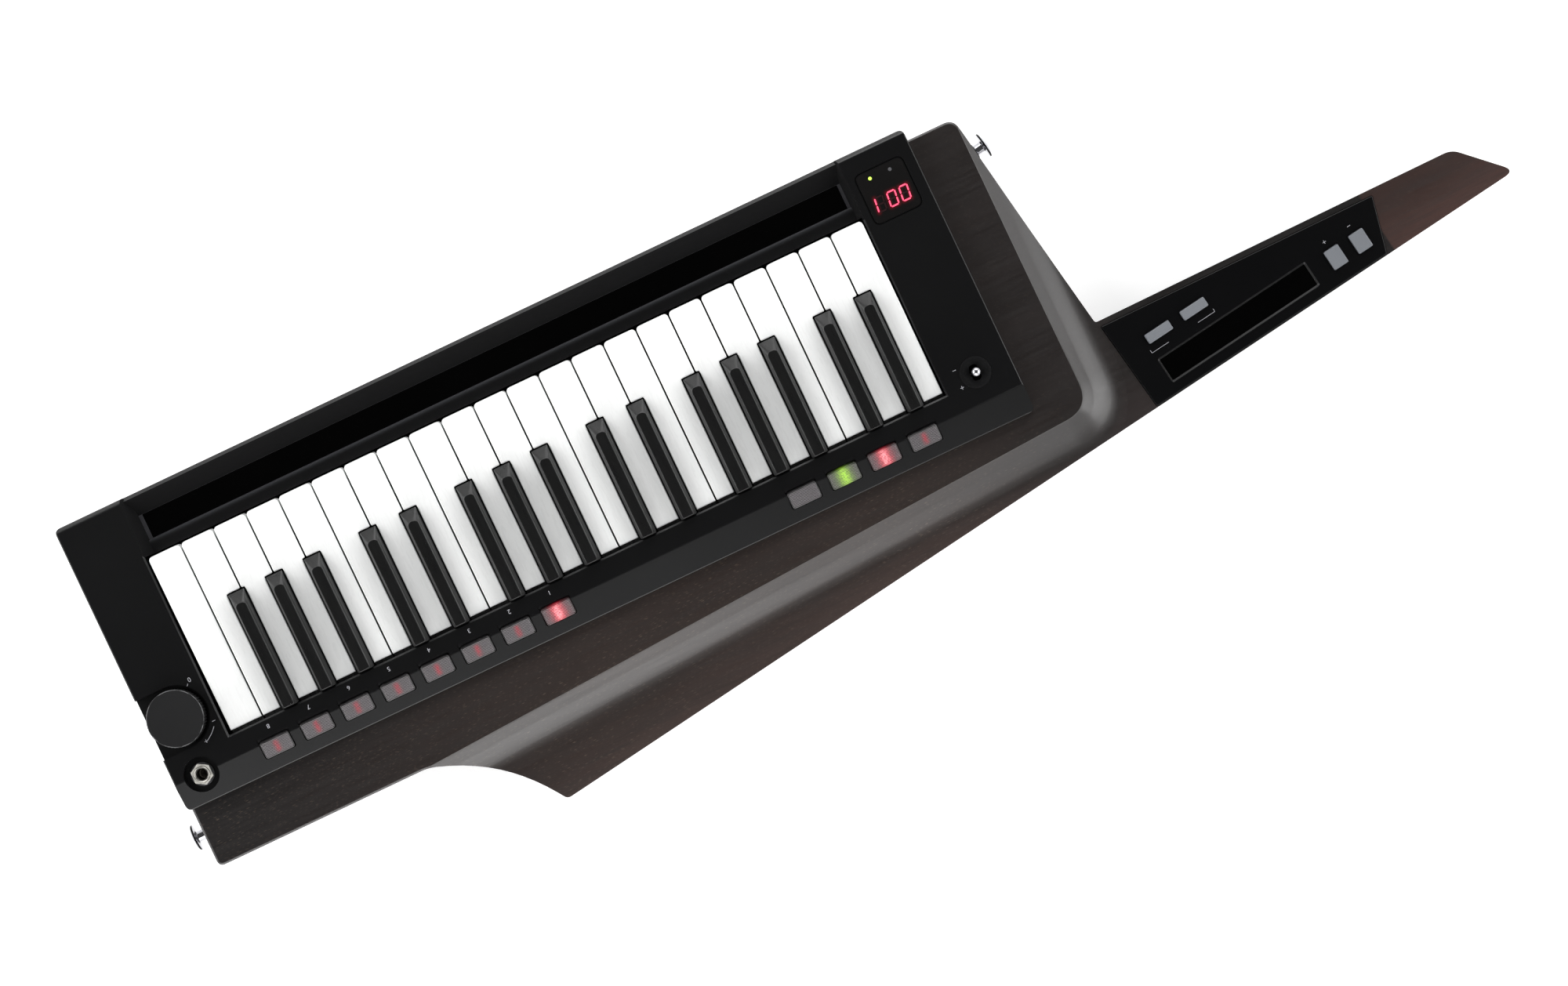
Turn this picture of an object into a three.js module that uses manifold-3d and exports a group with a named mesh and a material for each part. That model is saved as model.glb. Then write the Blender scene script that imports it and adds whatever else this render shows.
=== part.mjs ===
// Keytar: a strap-on keyboard with a wooden body and a neck.
//
// Frame while it is built: X runs along the keyboard towards the neck, from the tail
// end of the lowest white key gap; Y runs from the rear edge of the top case towards
// the fronts of the keys; Z is up, from the flat back. The finished group is moved so
// that its origin is at the middle of the back.
import * as THREE from "three";
import { mergeVertices } from "three/addons/utils/BufferGeometryUtils.js";
import Module from "manifold-3d";

const wasm = await Module();
wasm.setup();

// Sizes in millimetres, angles in degrees.

// Clearances
const SEAT_GAP = 0.3; // between pieces that touch on the real object
const OVERRUN = 2; // how far a cut runs past the face it opens
const WELD = 1; // how far joined bodies reach into each other

// Keyboard
const WHITE_COUNT = 22;
const WHITE_PITCH = 20;
const WHITE_GAP = 0.9;
const WHITE_TOP = 8.6; // above the hinge axis, square to the key
const WHITE_BOTTOM = -4.5;
const WHITE_CORNER = 1.6;
const WHITE_EDGE = 0.7;
const WHITE_WALL = 1.6;
const WHITE_ROOF = 2;
const WHITE_FRONT_GAP = 1.2; // from the foot of the key's front to the opening's wall
const WHITE_HEAD = 36.8; // length of the key's full width
const RAISED_START = 15.3; // from the hinge axis to the back of the raised part
const BLACK_CUTOUT = 11.2;
const BLACK_WIDTH = 9.8;
const BLACK_TOP_WIDTH = 6.6;
const BLACK_HEIGHT = 8; // above the white keys
const BLACK_FRONT_GAP = 0.8; // from its front to where the white keys get their full width
const BLACK_SLOPE_LENGTH = 6.6; // plan length of the slanted front
const BLACK_BACK_LEAN = 0.6;
const BLACK_RAISED_START = 13.6;
const BLACK_BOTTOM = -2.5;
const BLACK_CORNER = 0.9;
const BLACK_EDGE = 0.6;
const BLACK_WALL = 1.5;
const BLACK_ROOF = 2.4;
const BLACK_FOOT_RISE = 0.4; // height of the upright sides above the white keys
const OUTER_BLACK_SHIFT = 3.3; // F sharp and A sharp, off the gap line
const INNER_BLACK_SHIFT = 2.4; // C sharp and D sharp, off the gap line
const KEY_TILT_DEG = 3;
const HINGE_SETBACK = 12.9; // behind the front edge of the rear rail
const HINGE_DROP = 12; // below the top of the case
const HINGE_BAR_RADIUS = 2;
const HINGE_WEB = 1.6;
const TAIL_BACK = 4.6;
const TAIL_TOP = 4;
const TAIL_BOTTOM = -3;
const HOOK_SETBACK = 16.1; // behind the front of the black keys
const HOOK_LEG = 2.5;
const HOOK_TOE = 5.5;
const HOOK_TOE_TOP = -11;
const HOOK_TOE_HEIGHT = 2;
const HOOK_WIDTH = 4;
const STOP_WEB = 2.4;
const STOP_LIP = 11; // flange depth of the stop rail
const STOP_LIP_THICKNESS = 2.2;
const STOP_HOOK_CLEARANCE = 1.9; // from the hook leg to the flange edge

// Top case
const TAIL_CHEEK = 40.7;
const HEAD_CHEEK = 42.2;
const REAR_RAIL = 28.9;
const OPENING_DEPTH = 109.8;
const FRONT_RAIL = 35.1;
const OPENING_TAIL_GAP = 1.3;
const OPENING_HEAD_GAP = 0.7;
const CASE_RISE = 10; // above the wood
const CASE_CORNER = 4;
const CASE_EDGE = 0.6;
const CASE_WALL = 2.5;
const CASE_ROOF = 2.6;
const RIM_CHAMFER = 1;
const FACET_DEPTH = 16.5;
const FACET_TILT_DEG = 17;
const FRONT_BEVEL = 2.3;
const FRONT_BEVEL_DROP = 2.2;
const FRONT_SKIRT = 14; // below the top of the case
const SLIP_WALL = 2.2;
const SLIP_SKIRT = 17; // below the top of the case
const SIDE_SKIRT = 16; // below the top of the case

// Trough of the front rail
const BAND_DEPTH = 7.6; // flat band between the keys and the touch strip
const BAND_DROP = 8.8; // below the cheeks
const BAND_STEP = 1.6; // run of the slope between the band and the touch strip
const STRIP_BED = 15.2;
const STRIP_DROP = 9.6;
const LIP_DROP = 3.2;
const TROUGH_TAIL_SLOPE = 5.5;
const TROUGH_HEAD_SLOPE = 3.7;
const TROUGH_FLOOR = 2.2;
const TROUGH_CURVE_STEPS = 5;

// Rear rail buttons
const PROGRAM_COUNT = 8;
const FUNCTION_NAMES = ["shift", "ribbon", "arpeggio", "tap"];
const BUTTON_PITCH = 24.75;
const PROGRAM_FIRST_X = 20.7;
const FUNCTION_FIRST_X = 345.6;
const BUTTON_Y = 12.7;
const BUTTON_LENGTH = 17.8;
const BUTTON_WIDTH = 10.1;
const BUTTON_CORNER = 1.3;
const BUTTON_CLEARANCE = 0.55;
const BUTTON_PROUD = 1.5;
const BUTTON_EDGE = 0.6;
const BUTTON_FLANGE = 1.2;
const BUTTON_LIP = 1.3; // flange beyond the hole
const BUTTON_FLANGE_CUTBACK = 2.8; // flange kept short towards the keys
const BUTTON_NUB_WIDTH = 4;
const BUTTON_NUB = 0.9;
const SCOOP_REACH = 2.9;

// Volume knob
const KNOB_X = 17.5; // from the tail edge of the case
const KNOB_Y = 50;
const KNOB_RADIUS = 16.4;
const KNOB_WELL_RADIUS = 18.3;
const KNOB_WELL_DEPTH = 6.7;
const KNOB_HEIGHT = 14.6;
const KNOB_FLUTES = 52;
const FLUTE_DEPTH = 0.55;
const KNOB_TOP_EDGE = 1.4;
const KNOB_DISH_RADIUS = 13.2;
const KNOB_DISH = 0.7;
const KNOB_SHAFT_RADIUS = 3;
const KNOB_SHAFT = 9;
const KNOB_COLLAR_RADIUS = 6;
const KNOB_COLLAR = 6;
const WELL_FLOOR = 2;

// Output jack
const JACK_X = 16.2; // from the tail edge of the case
const JACK_Y = 15.8;
const JACK_WELL_RADIUS = 10;
const JACK_WELL_DEPTH = 5.6;
const JACK_NUT_ACROSS_FLATS = 11;
const JACK_NUT = 2.4;
const NUT_SIDES = 6;
const JACK_WASHER_RADIUS = 6.8;
const JACK_WASHER = 0.6;
const JACK_BUSH_RADIUS = 4.4;
const JACK_BUSH_PROUD = 1;
const JACK_BORE_RADIUS = 3.2;
const JACK_BODY_RADIUS = 7;
const JACK_BODY = 27;
const JACK_BASE = 2;

// Sound lever
const LEVER_X = 21.3; // from the head edge of the case
const LEVER_Y = 33.6;
const LEVER_RING_RADIUS = 9;
const LEVER_RING_EDGE = 0.9;
const LEVER_RING_RISE = 1.2;
const LEVER_FUNNEL_RADIUS = 7.4;
const LEVER_SLOT_LENGTH = 13;
const LEVER_SLOT_WIDTH = 5.6;
const LEVER_PIVOT_DROP = 7; // below the top of the case
const LEVER_TIP_RISE = 12; // above the top of the case
const LEVER_TIP_RADIUS = 2.6;
const LEVER_NECK_RADIUS = 1.6;
const LEVER_STUB = 6;
const LEVER_PIN_RADIUS = 1.5;
const LEVER_PIN_LENGTH = 11;
const LEVER_EAR = 2;
const LEVER_EAR_SPACING = 3.6; // from the lever axis to the inner face of an ear
const LEVER_EAR_WIDTH = 7;
const LEVER_EAR_BELOW = 3.2; // below the pivot

// Display window
const DISPLAY_HEAD_INSET = 6.7;
const DISPLAY_WIDTH = 29.9;
const DISPLAY_DEPTH = 31;
const DISPLAY_FRONT_INSET = 12.6;
const DISPLAY_CORNER = 3;
const DISPLAY_GROOVE = 0.6;
const DISPLAY_SINK = 0.6;

// Wooden body
const BODY_HEIGHT = 40;
const WING_HEIGHT = 27;
const WOOD_TAIL_SETBACK = 1.4;
const WOOD_FRONT_SETBACK = 6.6;
const WOOD_REAR_LEDGE = 35.4;
const WOOD_CORNER = 4;
const TOP_EDGE = 1.6;
const BACK_EDGE = 3;
const WAIST_X = 90.5;
const WAIST_REACH = 5;
const FLANK_X = 128.3;
const FLANK_Y = 49.4; // behind the case
const FLANK_REACH = 36;
const HORN_X = 152.4;
const HORN_REACH = 2.4;
const NECK_TURN_DEG = 8.2;
const NECK_ROOT_X = 63.6; // from the head edge of the case to the neck panel's first corner
const NECK_ROOT_Y = 28.1; // behind the case
const NECK_LENGTH = 241.9; // along the lower edge, to the point of the tip
const TIP_REACH = 7;
const TIP_TOP_X = 275.4; // from the head edge of the case
const TIP_TOP_Y = 32.1;
const TIP_TOP_REACH = 5;
const CROOK_X = 52.8; // from the head edge of the case
const CROOK_Y = 30.1;
const CROOK_REACH = 6;
const SHOULDER_X = 28.7; // from the head edge of the case
const SHOULDER_REACH = 6;
const PLATEAU_TURN_DEG = 3.15;
const PLATEAU_X = 93.3;
const PLATEAU_Y = 34.7; // behind the case
const PLATEAU_HEAD = 28.8; // from the head edge of the case
const PLATEAU_CORNER = 15;
const COVE_WIDTH = 20;
const MIDDLE_INSET = 0.05; // of the raised middle's outer side from the wing's side
const POCKET_TAIL_WALL = 6.3;
const POCKET_HEAD_LEDGE = 10.2; // wood under the head edge of the case
const POCKET_REAR_LEDGE = 8;
const POCKET_FRONT_WALL = 7.2;
const POCKET_CORNER = 4;
const REBATE = 3.5;
const REBATE_HEAD = 5;

// Neck
const HEEL_START = 8; // along the neck, where its rounded back begins
const HEEL_SLOPE = 12;
const NECK_SIDE_Z = 16; // height of the middle of the rounded back
const NECK_BACK_RISE = 5; // how much thinner the neck is at its tip
const NECK_BACK_MARGIN = 2;
const NECK_ROOT_WIDTH = 58.5;
const NECK_TIP_WIDTH = 25;
const NECK_BACK_STEPS = 12;
const CHANNEL_DEPTH = 10;
const CHANNEL_MARGIN = 5;

// Neck panel, in the neck's own frame: along the neck and up from its lower edge
const PANEL_OVERHANG = 1; // past the corners that the lines below give
const PANEL_TAIL_LEAN = 1.6;
const PANEL_TAIL_TOP = 55.3;
const PANEL_EDGE = 0.9;
const PANEL_LENGTH = 154.7;
const PANEL_HEAD_LEAN = 11;
const PANEL_HEAD_TOP = 32.5;
const PANEL_CORNER = 0.8;
const PANEL_THICKNESS = 3.3;
const PANEL_PROUD = 0.8;
const LONG_STRIP_START = 13.4;
const LONG_STRIP_HEAD_INSET = 38.3; // from the panel's head end
const LONG_STRIP_LOW = 5.1;
const LONG_STRIP_WIDTH = 19.3;
const LONG_STRIP_BEVEL = 2.5;
const LONG_STRIP_DEPTH = 1.1;
const MODE_BUTTON_LENGTH = 16;
const MODE_BUTTON_WIDTH = 5.8;
const MODE_BUTTON_HEIGHT = 35; // up from the lower edge
const FILTER_BUTTON_X = 24.3;
const PITCH_BUTTON_X = 48;
const OCTAVE_BUTTON_LENGTH = 9.2;
const OCTAVE_BUTTON_WIDTH = 11.9;
const OCTAVE_BUTTON_HEIGHT = 15;
const OCTAVE_BUTTON_INSET = 7.6; // from the panel's head end
const OCTAVE_BUTTON_PITCH = 16.5;
const NECK_BUTTON_CLEARANCE = 0.35;
const NECK_BUTTON_CORNER = 0.7;
const NECK_BUTTON_PROUD = 2;
const NECK_BUTTON_EDGE = 0.5;
const NECK_BUTTON_FLANGE = 1.2;
const NECK_BUTTON_LIP = 0.9;
const NECK_BUTTON_STEM_RADIUS = 1.8;
const NECK_BUTTON_STEM = 4;

// Strap buttons
const STRAP_RADIUS = 7.6;
const STRAP_STEM_RADIUS = 3.4;
const STRAP_COLLAR_RADIUS = 4.6;
const STRAP_COLLAR = 3;
const STRAP_LENGTH = 9.6;
const STRAP_DISC = 3.4;
const STRAP_DISC_EDGE = 0.8;
const STRAP_HEIGHT = 20;
const TAIL_STRAP_Y = 15.2; // behind the case
const HEAD_STRAP_Y = 146.4;
const HEAD_STRAP_HEIGHT = 15;

// Back cover
const COVER_THICKNESS = 3;
const COVER_CORNER = 3.7;
const BOSS_RADIUS = 4;
const BOSS_HOLE_RADIUS = 1.4;
const COVER_BOSS = 7;
const COVER_BOSS_RADIUS = 4.5;
const SCREW_HEAD_RADIUS = 3;
const SCREW_HEAD = 2.2;
const SCREW_HOLE_RADIUS = 1.7;
const TAIL_BOSS_X = 22.7; // from the tail edge of the case
const TAIL_BOSS_SHARES = [0.506, 0.863]; // of the depth of the case
const HEAD_BOSS_X = 24.2; // from the head edge of the case
const HEAD_BOSS_SHARES = [0.357, 0.644]; // of the depth of the case
const DOOR_LENGTH = 92;
const DOOR_WIDTH = 62;
const DOOR_X = 60;
const DOOR_Y = 45;
const DOOR_GROOVE = 0.8;
const DOOR_GROOVE_DEPTH = 1;

// How finely round things are divided
const FINE_STEPS = 28;
const ROUND_STEPS = 18;
const SMALL_STEPS = 12;
const CORNER_STEPS = 2;
const EDGE_STEPS = 2;
const SADDLE_STEPS = 4;
const OUTLINE_STEPS = 5;
const CHAMFER_STEPS = 1;
const SHORTEST_REACH_SHARE = 0.1; // of a corner's rounding, kept when its sides move in

// Places that follow from the sizes above
const radians = THREE.MathUtils.degToRad;
const keyboardLength = WHITE_COUNT * WHITE_PITCH;
const caseTail = -TAIL_CHEEK;
const caseHead = keyboardLength + HEAD_CHEEK;
const openingFront = REAR_RAIL + OPENING_DEPTH;
const caseFront = openingFront + FRONT_RAIL;
const caseTop = BODY_HEIGHT + CASE_RISE;
const openingTail = -OPENING_TAIL_GAP;
const openingHead = keyboardLength + OPENING_HEAD_GAP;
const facetDrop = FACET_DEPTH * Math.tan(radians(FACET_TILT_DEG));
const roofUnderside = caseTop - CASE_ROOF;
const frontSkirtBottom = caseTop - FRONT_SKIRT;
const slipBottom = caseTop - SLIP_SKIRT;
const sideSkirtBottom = caseTop - SIDE_SKIRT;
const facetUnderside =
  caseTop -
  (FACET_DEPTH - CASE_WALL) * Math.tan(radians(FACET_TILT_DEG)) -
  CASE_ROOF / Math.cos(radians(FACET_TILT_DEG));
const caseSeat = BODY_HEIGHT + SEAT_GAP;
const bandTop = caseTop - BAND_DROP;
const stripTop = caseTop - STRIP_DROP;
const lipTop = caseTop - LIP_DROP;
const troughUnderside = stripTop - TROUGH_FLOOR;
const stripStart = openingFront + BAND_DEPTH;
const stripEnd = stripStart + STRIP_BED;
const ridgeY = caseFront - FRONT_BEVEL;
const woodTail = caseTail + WOOD_TAIL_SETBACK;
const woodFront = caseFront - WOOD_FRONT_SETBACK;
const pocketTail = woodTail + POCKET_TAIL_WALL;
const pocketHead = caseHead - POCKET_HEAD_LEDGE;
const pocketFront = woodFront - POCKET_FRONT_WALL;
const neckRootX = caseHead + NECK_ROOT_X;
const neckRootY = -NECK_ROOT_Y;
const neckTurn = radians(NECK_TURN_DEG);
const panelTop = WING_HEIGHT + PANEL_PROUD;
const panelUnderside = panelTop - PANEL_THICKNESS;
const longStripEnd = PANEL_LENGTH - LONG_STRIP_HEAD_INSET;
const octaveDownX = PANEL_LENGTH - OCTAVE_BUTTON_INSET;
const octaveUpX = octaveDownX - OCTAVE_BUTTON_PITCH;
const knobX = caseTail + KNOB_X;
const jackX = caseTail + JACK_X;
const leverX = caseHead - LEVER_X;
const hingeY = REAR_RAIL - HINGE_SETBACK;
const hingeZ = caseTop - HINGE_DROP;
const keyTilt = radians(KEY_TILT_DEG);
const whiteFront = (openingFront - WHITE_FRONT_GAP - hingeY) / Math.cos(keyTilt);
const whiteShoulder = whiteFront - WHITE_HEAD;
const blackFront = whiteShoulder - BLACK_FRONT_GAP;
const hookLegY = blackFront - HOOK_SETBACK;
const wellFloorTop = caseTop - KNOB_WELL_DEPTH;
const jackFloorTop = caseTop - JACK_WELL_DEPTH;
const bosses = [
  ...TAIL_BOSS_SHARES.map((share) => [caseTail + TAIL_BOSS_X, share * caseFront]),
  ...HEAD_BOSS_SHARES.map((share) => [caseHead - HEAD_BOSS_X, share * caseFront]),
];

// Finishes
function finish(color, roughness, metalness = 0) {
  return new THREE.MeshStandardMaterial({ color, roughness, metalness });
}
const stainedWood = finish(0x2b2320, 0.55);
const blackCase = finish(0x1c1c1e, 0.5);
const blackPanel = finish(0x1a1a1b, 0.45);
const coverPlastic = finish(0x17171a, 0.6);
const whiteKey = finish(0xeceef2, 0.25);
const blackKey = finish(0x141416, 0.35);
const lampCap = finish(0x9a9498, 0.45);
const paleCap = finish(0xc4c4d2, 0.45);
const chromeMetal = finish(0xd8d8dc, 0.15, 1);
const jackMetal = finish(0x8c8c90, 0.3, 1);
const knobPlastic = finish(0x1b1b1d, 0.4);

// A closed geometry as a solid that can be cut and joined.
function solid(geometry) {
  const bare = geometry.clone();
  bare.deleteAttribute("normal");
  bare.deleteAttribute("uv");
  const merged = mergeVertices(bare);
  const { position } = merged.attributes;
  const mesh = new wasm.Mesh({
    numProp: 3,
    vertProperties: new Float32Array(position.array),
    triVerts: new Uint32Array(merged.index.array),
  });
  return new wasm.Manifold(mesh);
}

// A solid back as a geometry that a mesh can hold.
function geometryOf(body) {
  const { numProp, vertProperties, triVerts } = body.getMesh();
  const count = vertProperties.length / numProp;
  const position = new Float32Array(count * 3);
  for (let i = 0; i < count; i++) {
    position.set(vertProperties.subarray(i * numProp, i * numProp + 3), i * 3);
  }
  const geometry = new THREE.BufferGeometry();
  geometry.setAttribute("position", new THREE.BufferAttribute(position, 3));
  geometry.setIndex(new THREE.BufferAttribute(new Uint32Array(triVerts), 1));
  geometry.computeVertexNormals();
  return geometry;
}

function join(...bodies) {
  return bodies.reduce((whole, next) => whole.add(next));
}

function cut(body, ...tools) {
  return tools.reduce((rest, tool) => rest.subtract(tool), body);
}

// Corners [x, y, reach] go anticlockwise. The reach is how far before and after the
// corner its rounding starts; a corner without one is sharp.
function outlinePoints(corners, steps = CORNER_STEPS) {
  const points = [];
  corners.forEach(([x, y, reach = 0], i) => {
    if (reach === 0) {
      points.push(new THREE.Vector2(x, y));
      return;
    }
    const corner = new THREE.Vector2(x, y);
    const before = corners[(i + corners.length - 1) % corners.length];
    const after = corners[(i + 1) % corners.length];
    const start = new THREE.Vector2(before[0] - x, before[1] - y).setLength(reach).add(corner);
    const end = new THREE.Vector2(after[0] - x, after[1] - y).setLength(reach).add(corner);
    const curve = new THREE.QuadraticBezierCurve(start, corner, end);
    points.push(...curve.getPoints(steps));
  });
  return points;
}

// The same corners with every side moved out by a distance, or in by a negative one.
function offsetCorners(corners, distance) {
  const count = corners.length;
  return corners.map(([x, y, reach = 0], i) => {
    const before = corners[(i + count - 1) % count];
    const after = corners[(i + 1) % count];
    const arrive = new THREE.Vector2(x - before[0], y - before[1]).normalize();
    const leave = new THREE.Vector2(after[0] - x, after[1] - y).normalize();
    const turn = Math.atan2(arrive.cross(leave), arrive.dot(leave));
    const slide = distance * Math.tan(turn / 2);
    const out = new THREE.Vector2(arrive.y, -arrive.x);
    const moved = new THREE.Vector2(x, y);
    moved.addScaledVector(out, distance).addScaledVector(arrive, slide);
    const rounded = reach === 0 ? 0 : Math.max(reach + slide, reach * SHORTEST_REACH_SHARE);
    return [moved.x, moved.y, rounded];
  });
}

function box(x0, x1, y0, y1, corner = 0) {
  return [
    [x0, y0, corner],
    [x1, y0, corner],
    [x1, y1, corner],
    [x0, y1, corner],
  ];
}

// A solid through a stack of rings with equal numbers of points, lowest ring first.
function loft(rings) {
  const size = rings[0].length;
  const position = rings.flat().flatMap((p) => [p.x, p.y, p.z]);
  const index = [];
  for (let r = 0; r + 1 < rings.length; r++) {
    for (let i = 0; i < size; i++) {
      const a = r * size + i;
      const b = r * size + ((i + 1) % size);
      index.push(a, b, b + size, a, b + size, a + size);
    }
  }
  const top = (rings.length - 1) * size;
  const flat = (ring) => ring.map((p) => new THREE.Vector2(p.x, p.y));
  for (const [a, b, c] of THREE.ShapeUtils.triangulateShape(flat(rings[0]), [])) {
    index.push(c, b, a);
  }
  for (const [a, b, c] of THREE.ShapeUtils.triangulateShape(flat(rings.at(-1)), [])) {
    index.push(top + a, top + b, top + c);
  }
  const geometry = new THREE.BufferGeometry();
  geometry.setAttribute("position", new THREE.Float32BufferAttribute(position, 3));
  geometry.setIndex(index);
  return solid(geometry);
}

// Levels [height, outward offset] of one outline, joined into a solid.
function layered(corners, levels, steps = CORNER_STEPS) {
  const rings = levels.map(([z, offset]) => {
    const moved = offsetCorners(corners, offset);
    return outlinePoints(moved, steps).map((p) => new THREE.Vector3(p.x, p.y, z));
  });
  return loft(rings);
}

function prism(corners, z0, z1, steps = CORNER_STEPS) {
  return layered(
    corners,
    [
      [z0, 0],
      [z1, 0],
    ],
    steps,
  );
}

// The levels of a quarter round at the upper edge of a solid.
function roundedTop(z, radius, steps = EDGE_STEPS) {
  return Array.from({ length: steps + 1 }, (_, i) => {
    const angle = (i / steps) * (Math.PI / 2);
    return [z - radius * (1 - Math.sin(angle)), -radius * (1 - Math.cos(angle))];
  });
}

function roundedBottom(z, radius, steps = EDGE_STEPS) {
  const levels = roundedTop(0, radius, steps).map(([height, offset]) => [z - height, offset]);
  return levels.reverse();
}

// A profile of [y, z] corners carried along X.
function barAlongX(profile, x0, x1, steps = CORNER_STEPS) {
  const turned = new THREE.Matrix4().makeBasis(
    new THREE.Vector3(0, 1, 0),
    new THREE.Vector3(0, 0, 1),
    new THREE.Vector3(1, 0, 0),
  );
  return prism(profile, x0, x1, steps).transform(turned.toArray());
}

// A profile of [x, z] corners, clockwise, carried along Y.
function barAlongY(profile, y0, y1) {
  const turned = new THREE.Matrix4().makeBasis(
    new THREE.Vector3(1, 0, 0),
    new THREE.Vector3(0, 0, 1),
    new THREE.Vector3(0, -1, 0),
  );
  return prism(profile, -y1, -y0).transform(turned.toArray());
}

// A turned body about Z from [radius, z] points, lowest first.
function turned(profile, steps = ROUND_STEPS) {
  const points = profile.map(([r, z]) => new THREE.Vector2(r, z));
  const body = solid(new THREE.LatheGeometry(points, steps));
  const upright = new THREE.Matrix4().makeRotationX(Math.PI / 2);
  return body.transform(upright.toArray());
}

function post(x, y, radius, z0, z1, steps = ROUND_STEPS) {
  const profile = [
    [0, z0],
    [radius, z0],
    [radius, z1],
    [0, z1],
  ];
  return turned(profile, steps).translate([x, y, 0]);
}

const group = new THREE.Group();
const model = new THREE.Group();
group.add(model);

function place(name, body, material, parent = model) {
  const mesh = new THREE.Mesh(geometryOf(body), material);
  mesh.name = name;
  parent.add(mesh);
  return mesh;
}

// Wooden body

// A place in the neck's own frame, as a place in the body's frame.
function onNeck(along, up) {
  const place = new THREE.Vector2(along, up).rotateAround(new THREE.Vector2(), neckTurn);
  return place.add(new THREE.Vector2(neckRootX, neckRootY));
}

function bodyOutline() {
  const hornY = neckRootY - (neckRootX - HORN_X) * Math.tan(neckTurn);
  const tip = onNeck(NECK_LENGTH, 0);
  return [
    [woodTail, -WOOD_REAR_LEDGE, WOOD_CORNER],
    [WAIST_X, -WOOD_REAR_LEDGE, WAIST_REACH],
    [FLANK_X, -FLANK_Y, FLANK_REACH],
    [HORN_X, hornY, HORN_REACH],
    [tip.x, tip.y, TIP_REACH],
    [caseHead + TIP_TOP_X, TIP_TOP_Y, TIP_TOP_REACH],
    [caseHead + CROOK_X, CROOK_Y, CROOK_REACH],
    [caseHead + SHOULDER_X, woodFront, SHOULDER_REACH],
    [woodTail, woodFront, WOOD_CORNER],
  ];
}

// The raised middle: its own edge line, and below it a hollow curve out to the wing.
const COVE_OUT_SHARES = [1, 0.72, 0.48, 0.28, 0.12, 0.03, 0];
const COVE_UP_SHARES = [0, 0.045, 0.16, 0.36, 0.64, 0.9, 1];
function plateau() {
  const slope = Math.tan(radians(PLATEAU_TURN_DEG));
  const head = caseHead + PLATEAU_HEAD;
  const far = woodFront + COVE_WIDTH;
  const tail = woodTail - COVE_WIDTH;
  const edge = [
    [tail, -PLATEAU_Y - (PLATEAU_X - tail) * slope, 0],
    [head, -PLATEAU_Y + (head - PLATEAU_X) * slope, PLATEAU_CORNER],
    [head, far, 0],
    [tail, far, 0],
  ];
  const rise = BODY_HEIGHT - WING_HEIGHT;
  const levels = COVE_OUT_SHARES.map((out, i) => [
    WING_HEIGHT + COVE_UP_SHARES[i] * rise,
    out * COVE_WIDTH,
  ]);
  const foot = [WING_HEIGHT - WELD, COVE_WIDTH];
  return layered(edge, [foot, ...levels], OUTLINE_STEPS);
}

// What is cut away under the neck to leave its back round.
function neckBackCut() {
  const rings = [-HEEL_SLOPE, NECK_LENGTH + HEEL_SLOPE].map((along) => {
    const share = THREE.MathUtils.clamp(along / NECK_LENGTH, 0, 1);
    const width = THREE.MathUtils.lerp(NECK_ROOT_WIDTH, NECK_TIP_WIDTH, share);
    const half = width / 2 + NECK_BACK_MARGIN;
    const depth = NECK_SIDE_Z - share * NECK_BACK_RISE;
    return Array.from({ length: NECK_BACK_STEPS + 1 }, (_, i) => {
      const angle = Math.PI + (i / NECK_BACK_STEPS) * Math.PI;
      const across = width / 2 + half * Math.cos(angle);
      const height = NECK_SIDE_Z + depth * Math.sin(angle);
      return new THREE.Vector3(across, height, along);
    });
  });
  const lying = new THREE.Matrix4().makeBasis(
    new THREE.Vector3(0, 1, 0),
    new THREE.Vector3(0, 0, 1),
    new THREE.Vector3(1, 0, 0),
  );
  const round = loft(rings).transform(lying.toArray());
  const block = barAlongY(
    [
      [HEEL_START, NECK_SIDE_Z],
      [NECK_LENGTH + HEEL_SLOPE - OVERRUN, NECK_SIDE_Z],
      [NECK_LENGTH + HEEL_SLOPE - OVERRUN, -OVERRUN],
      [HEEL_START + HEEL_SLOPE, -OVERRUN],
    ].reverse(),
    -NECK_ROOT_WIDTH,
    NECK_ROOT_WIDTH + NECK_ROOT_WIDTH,
  );
  return block.subtract(round).transform(neckMatrix().toArray());
}

function neckMatrix() {
  const matrix = new THREE.Matrix4().makeRotationZ(neckTurn);
  return matrix.setPosition(neckRootX, neckRootY, 0);
}

function panelCorners() {
  return [
    [PANEL_TAIL_LEAN - PANEL_OVERHANG, PANEL_EDGE, PANEL_CORNER],
    [PANEL_LENGTH + PANEL_OVERHANG, PANEL_EDGE, PANEL_CORNER],
    [PANEL_LENGTH + PANEL_HEAD_LEAN + PANEL_OVERHANG, PANEL_HEAD_TOP, PANEL_CORNER],
    [-PANEL_OVERHANG, PANEL_TAIL_TOP, PANEL_CORNER],
  ];
}

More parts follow.
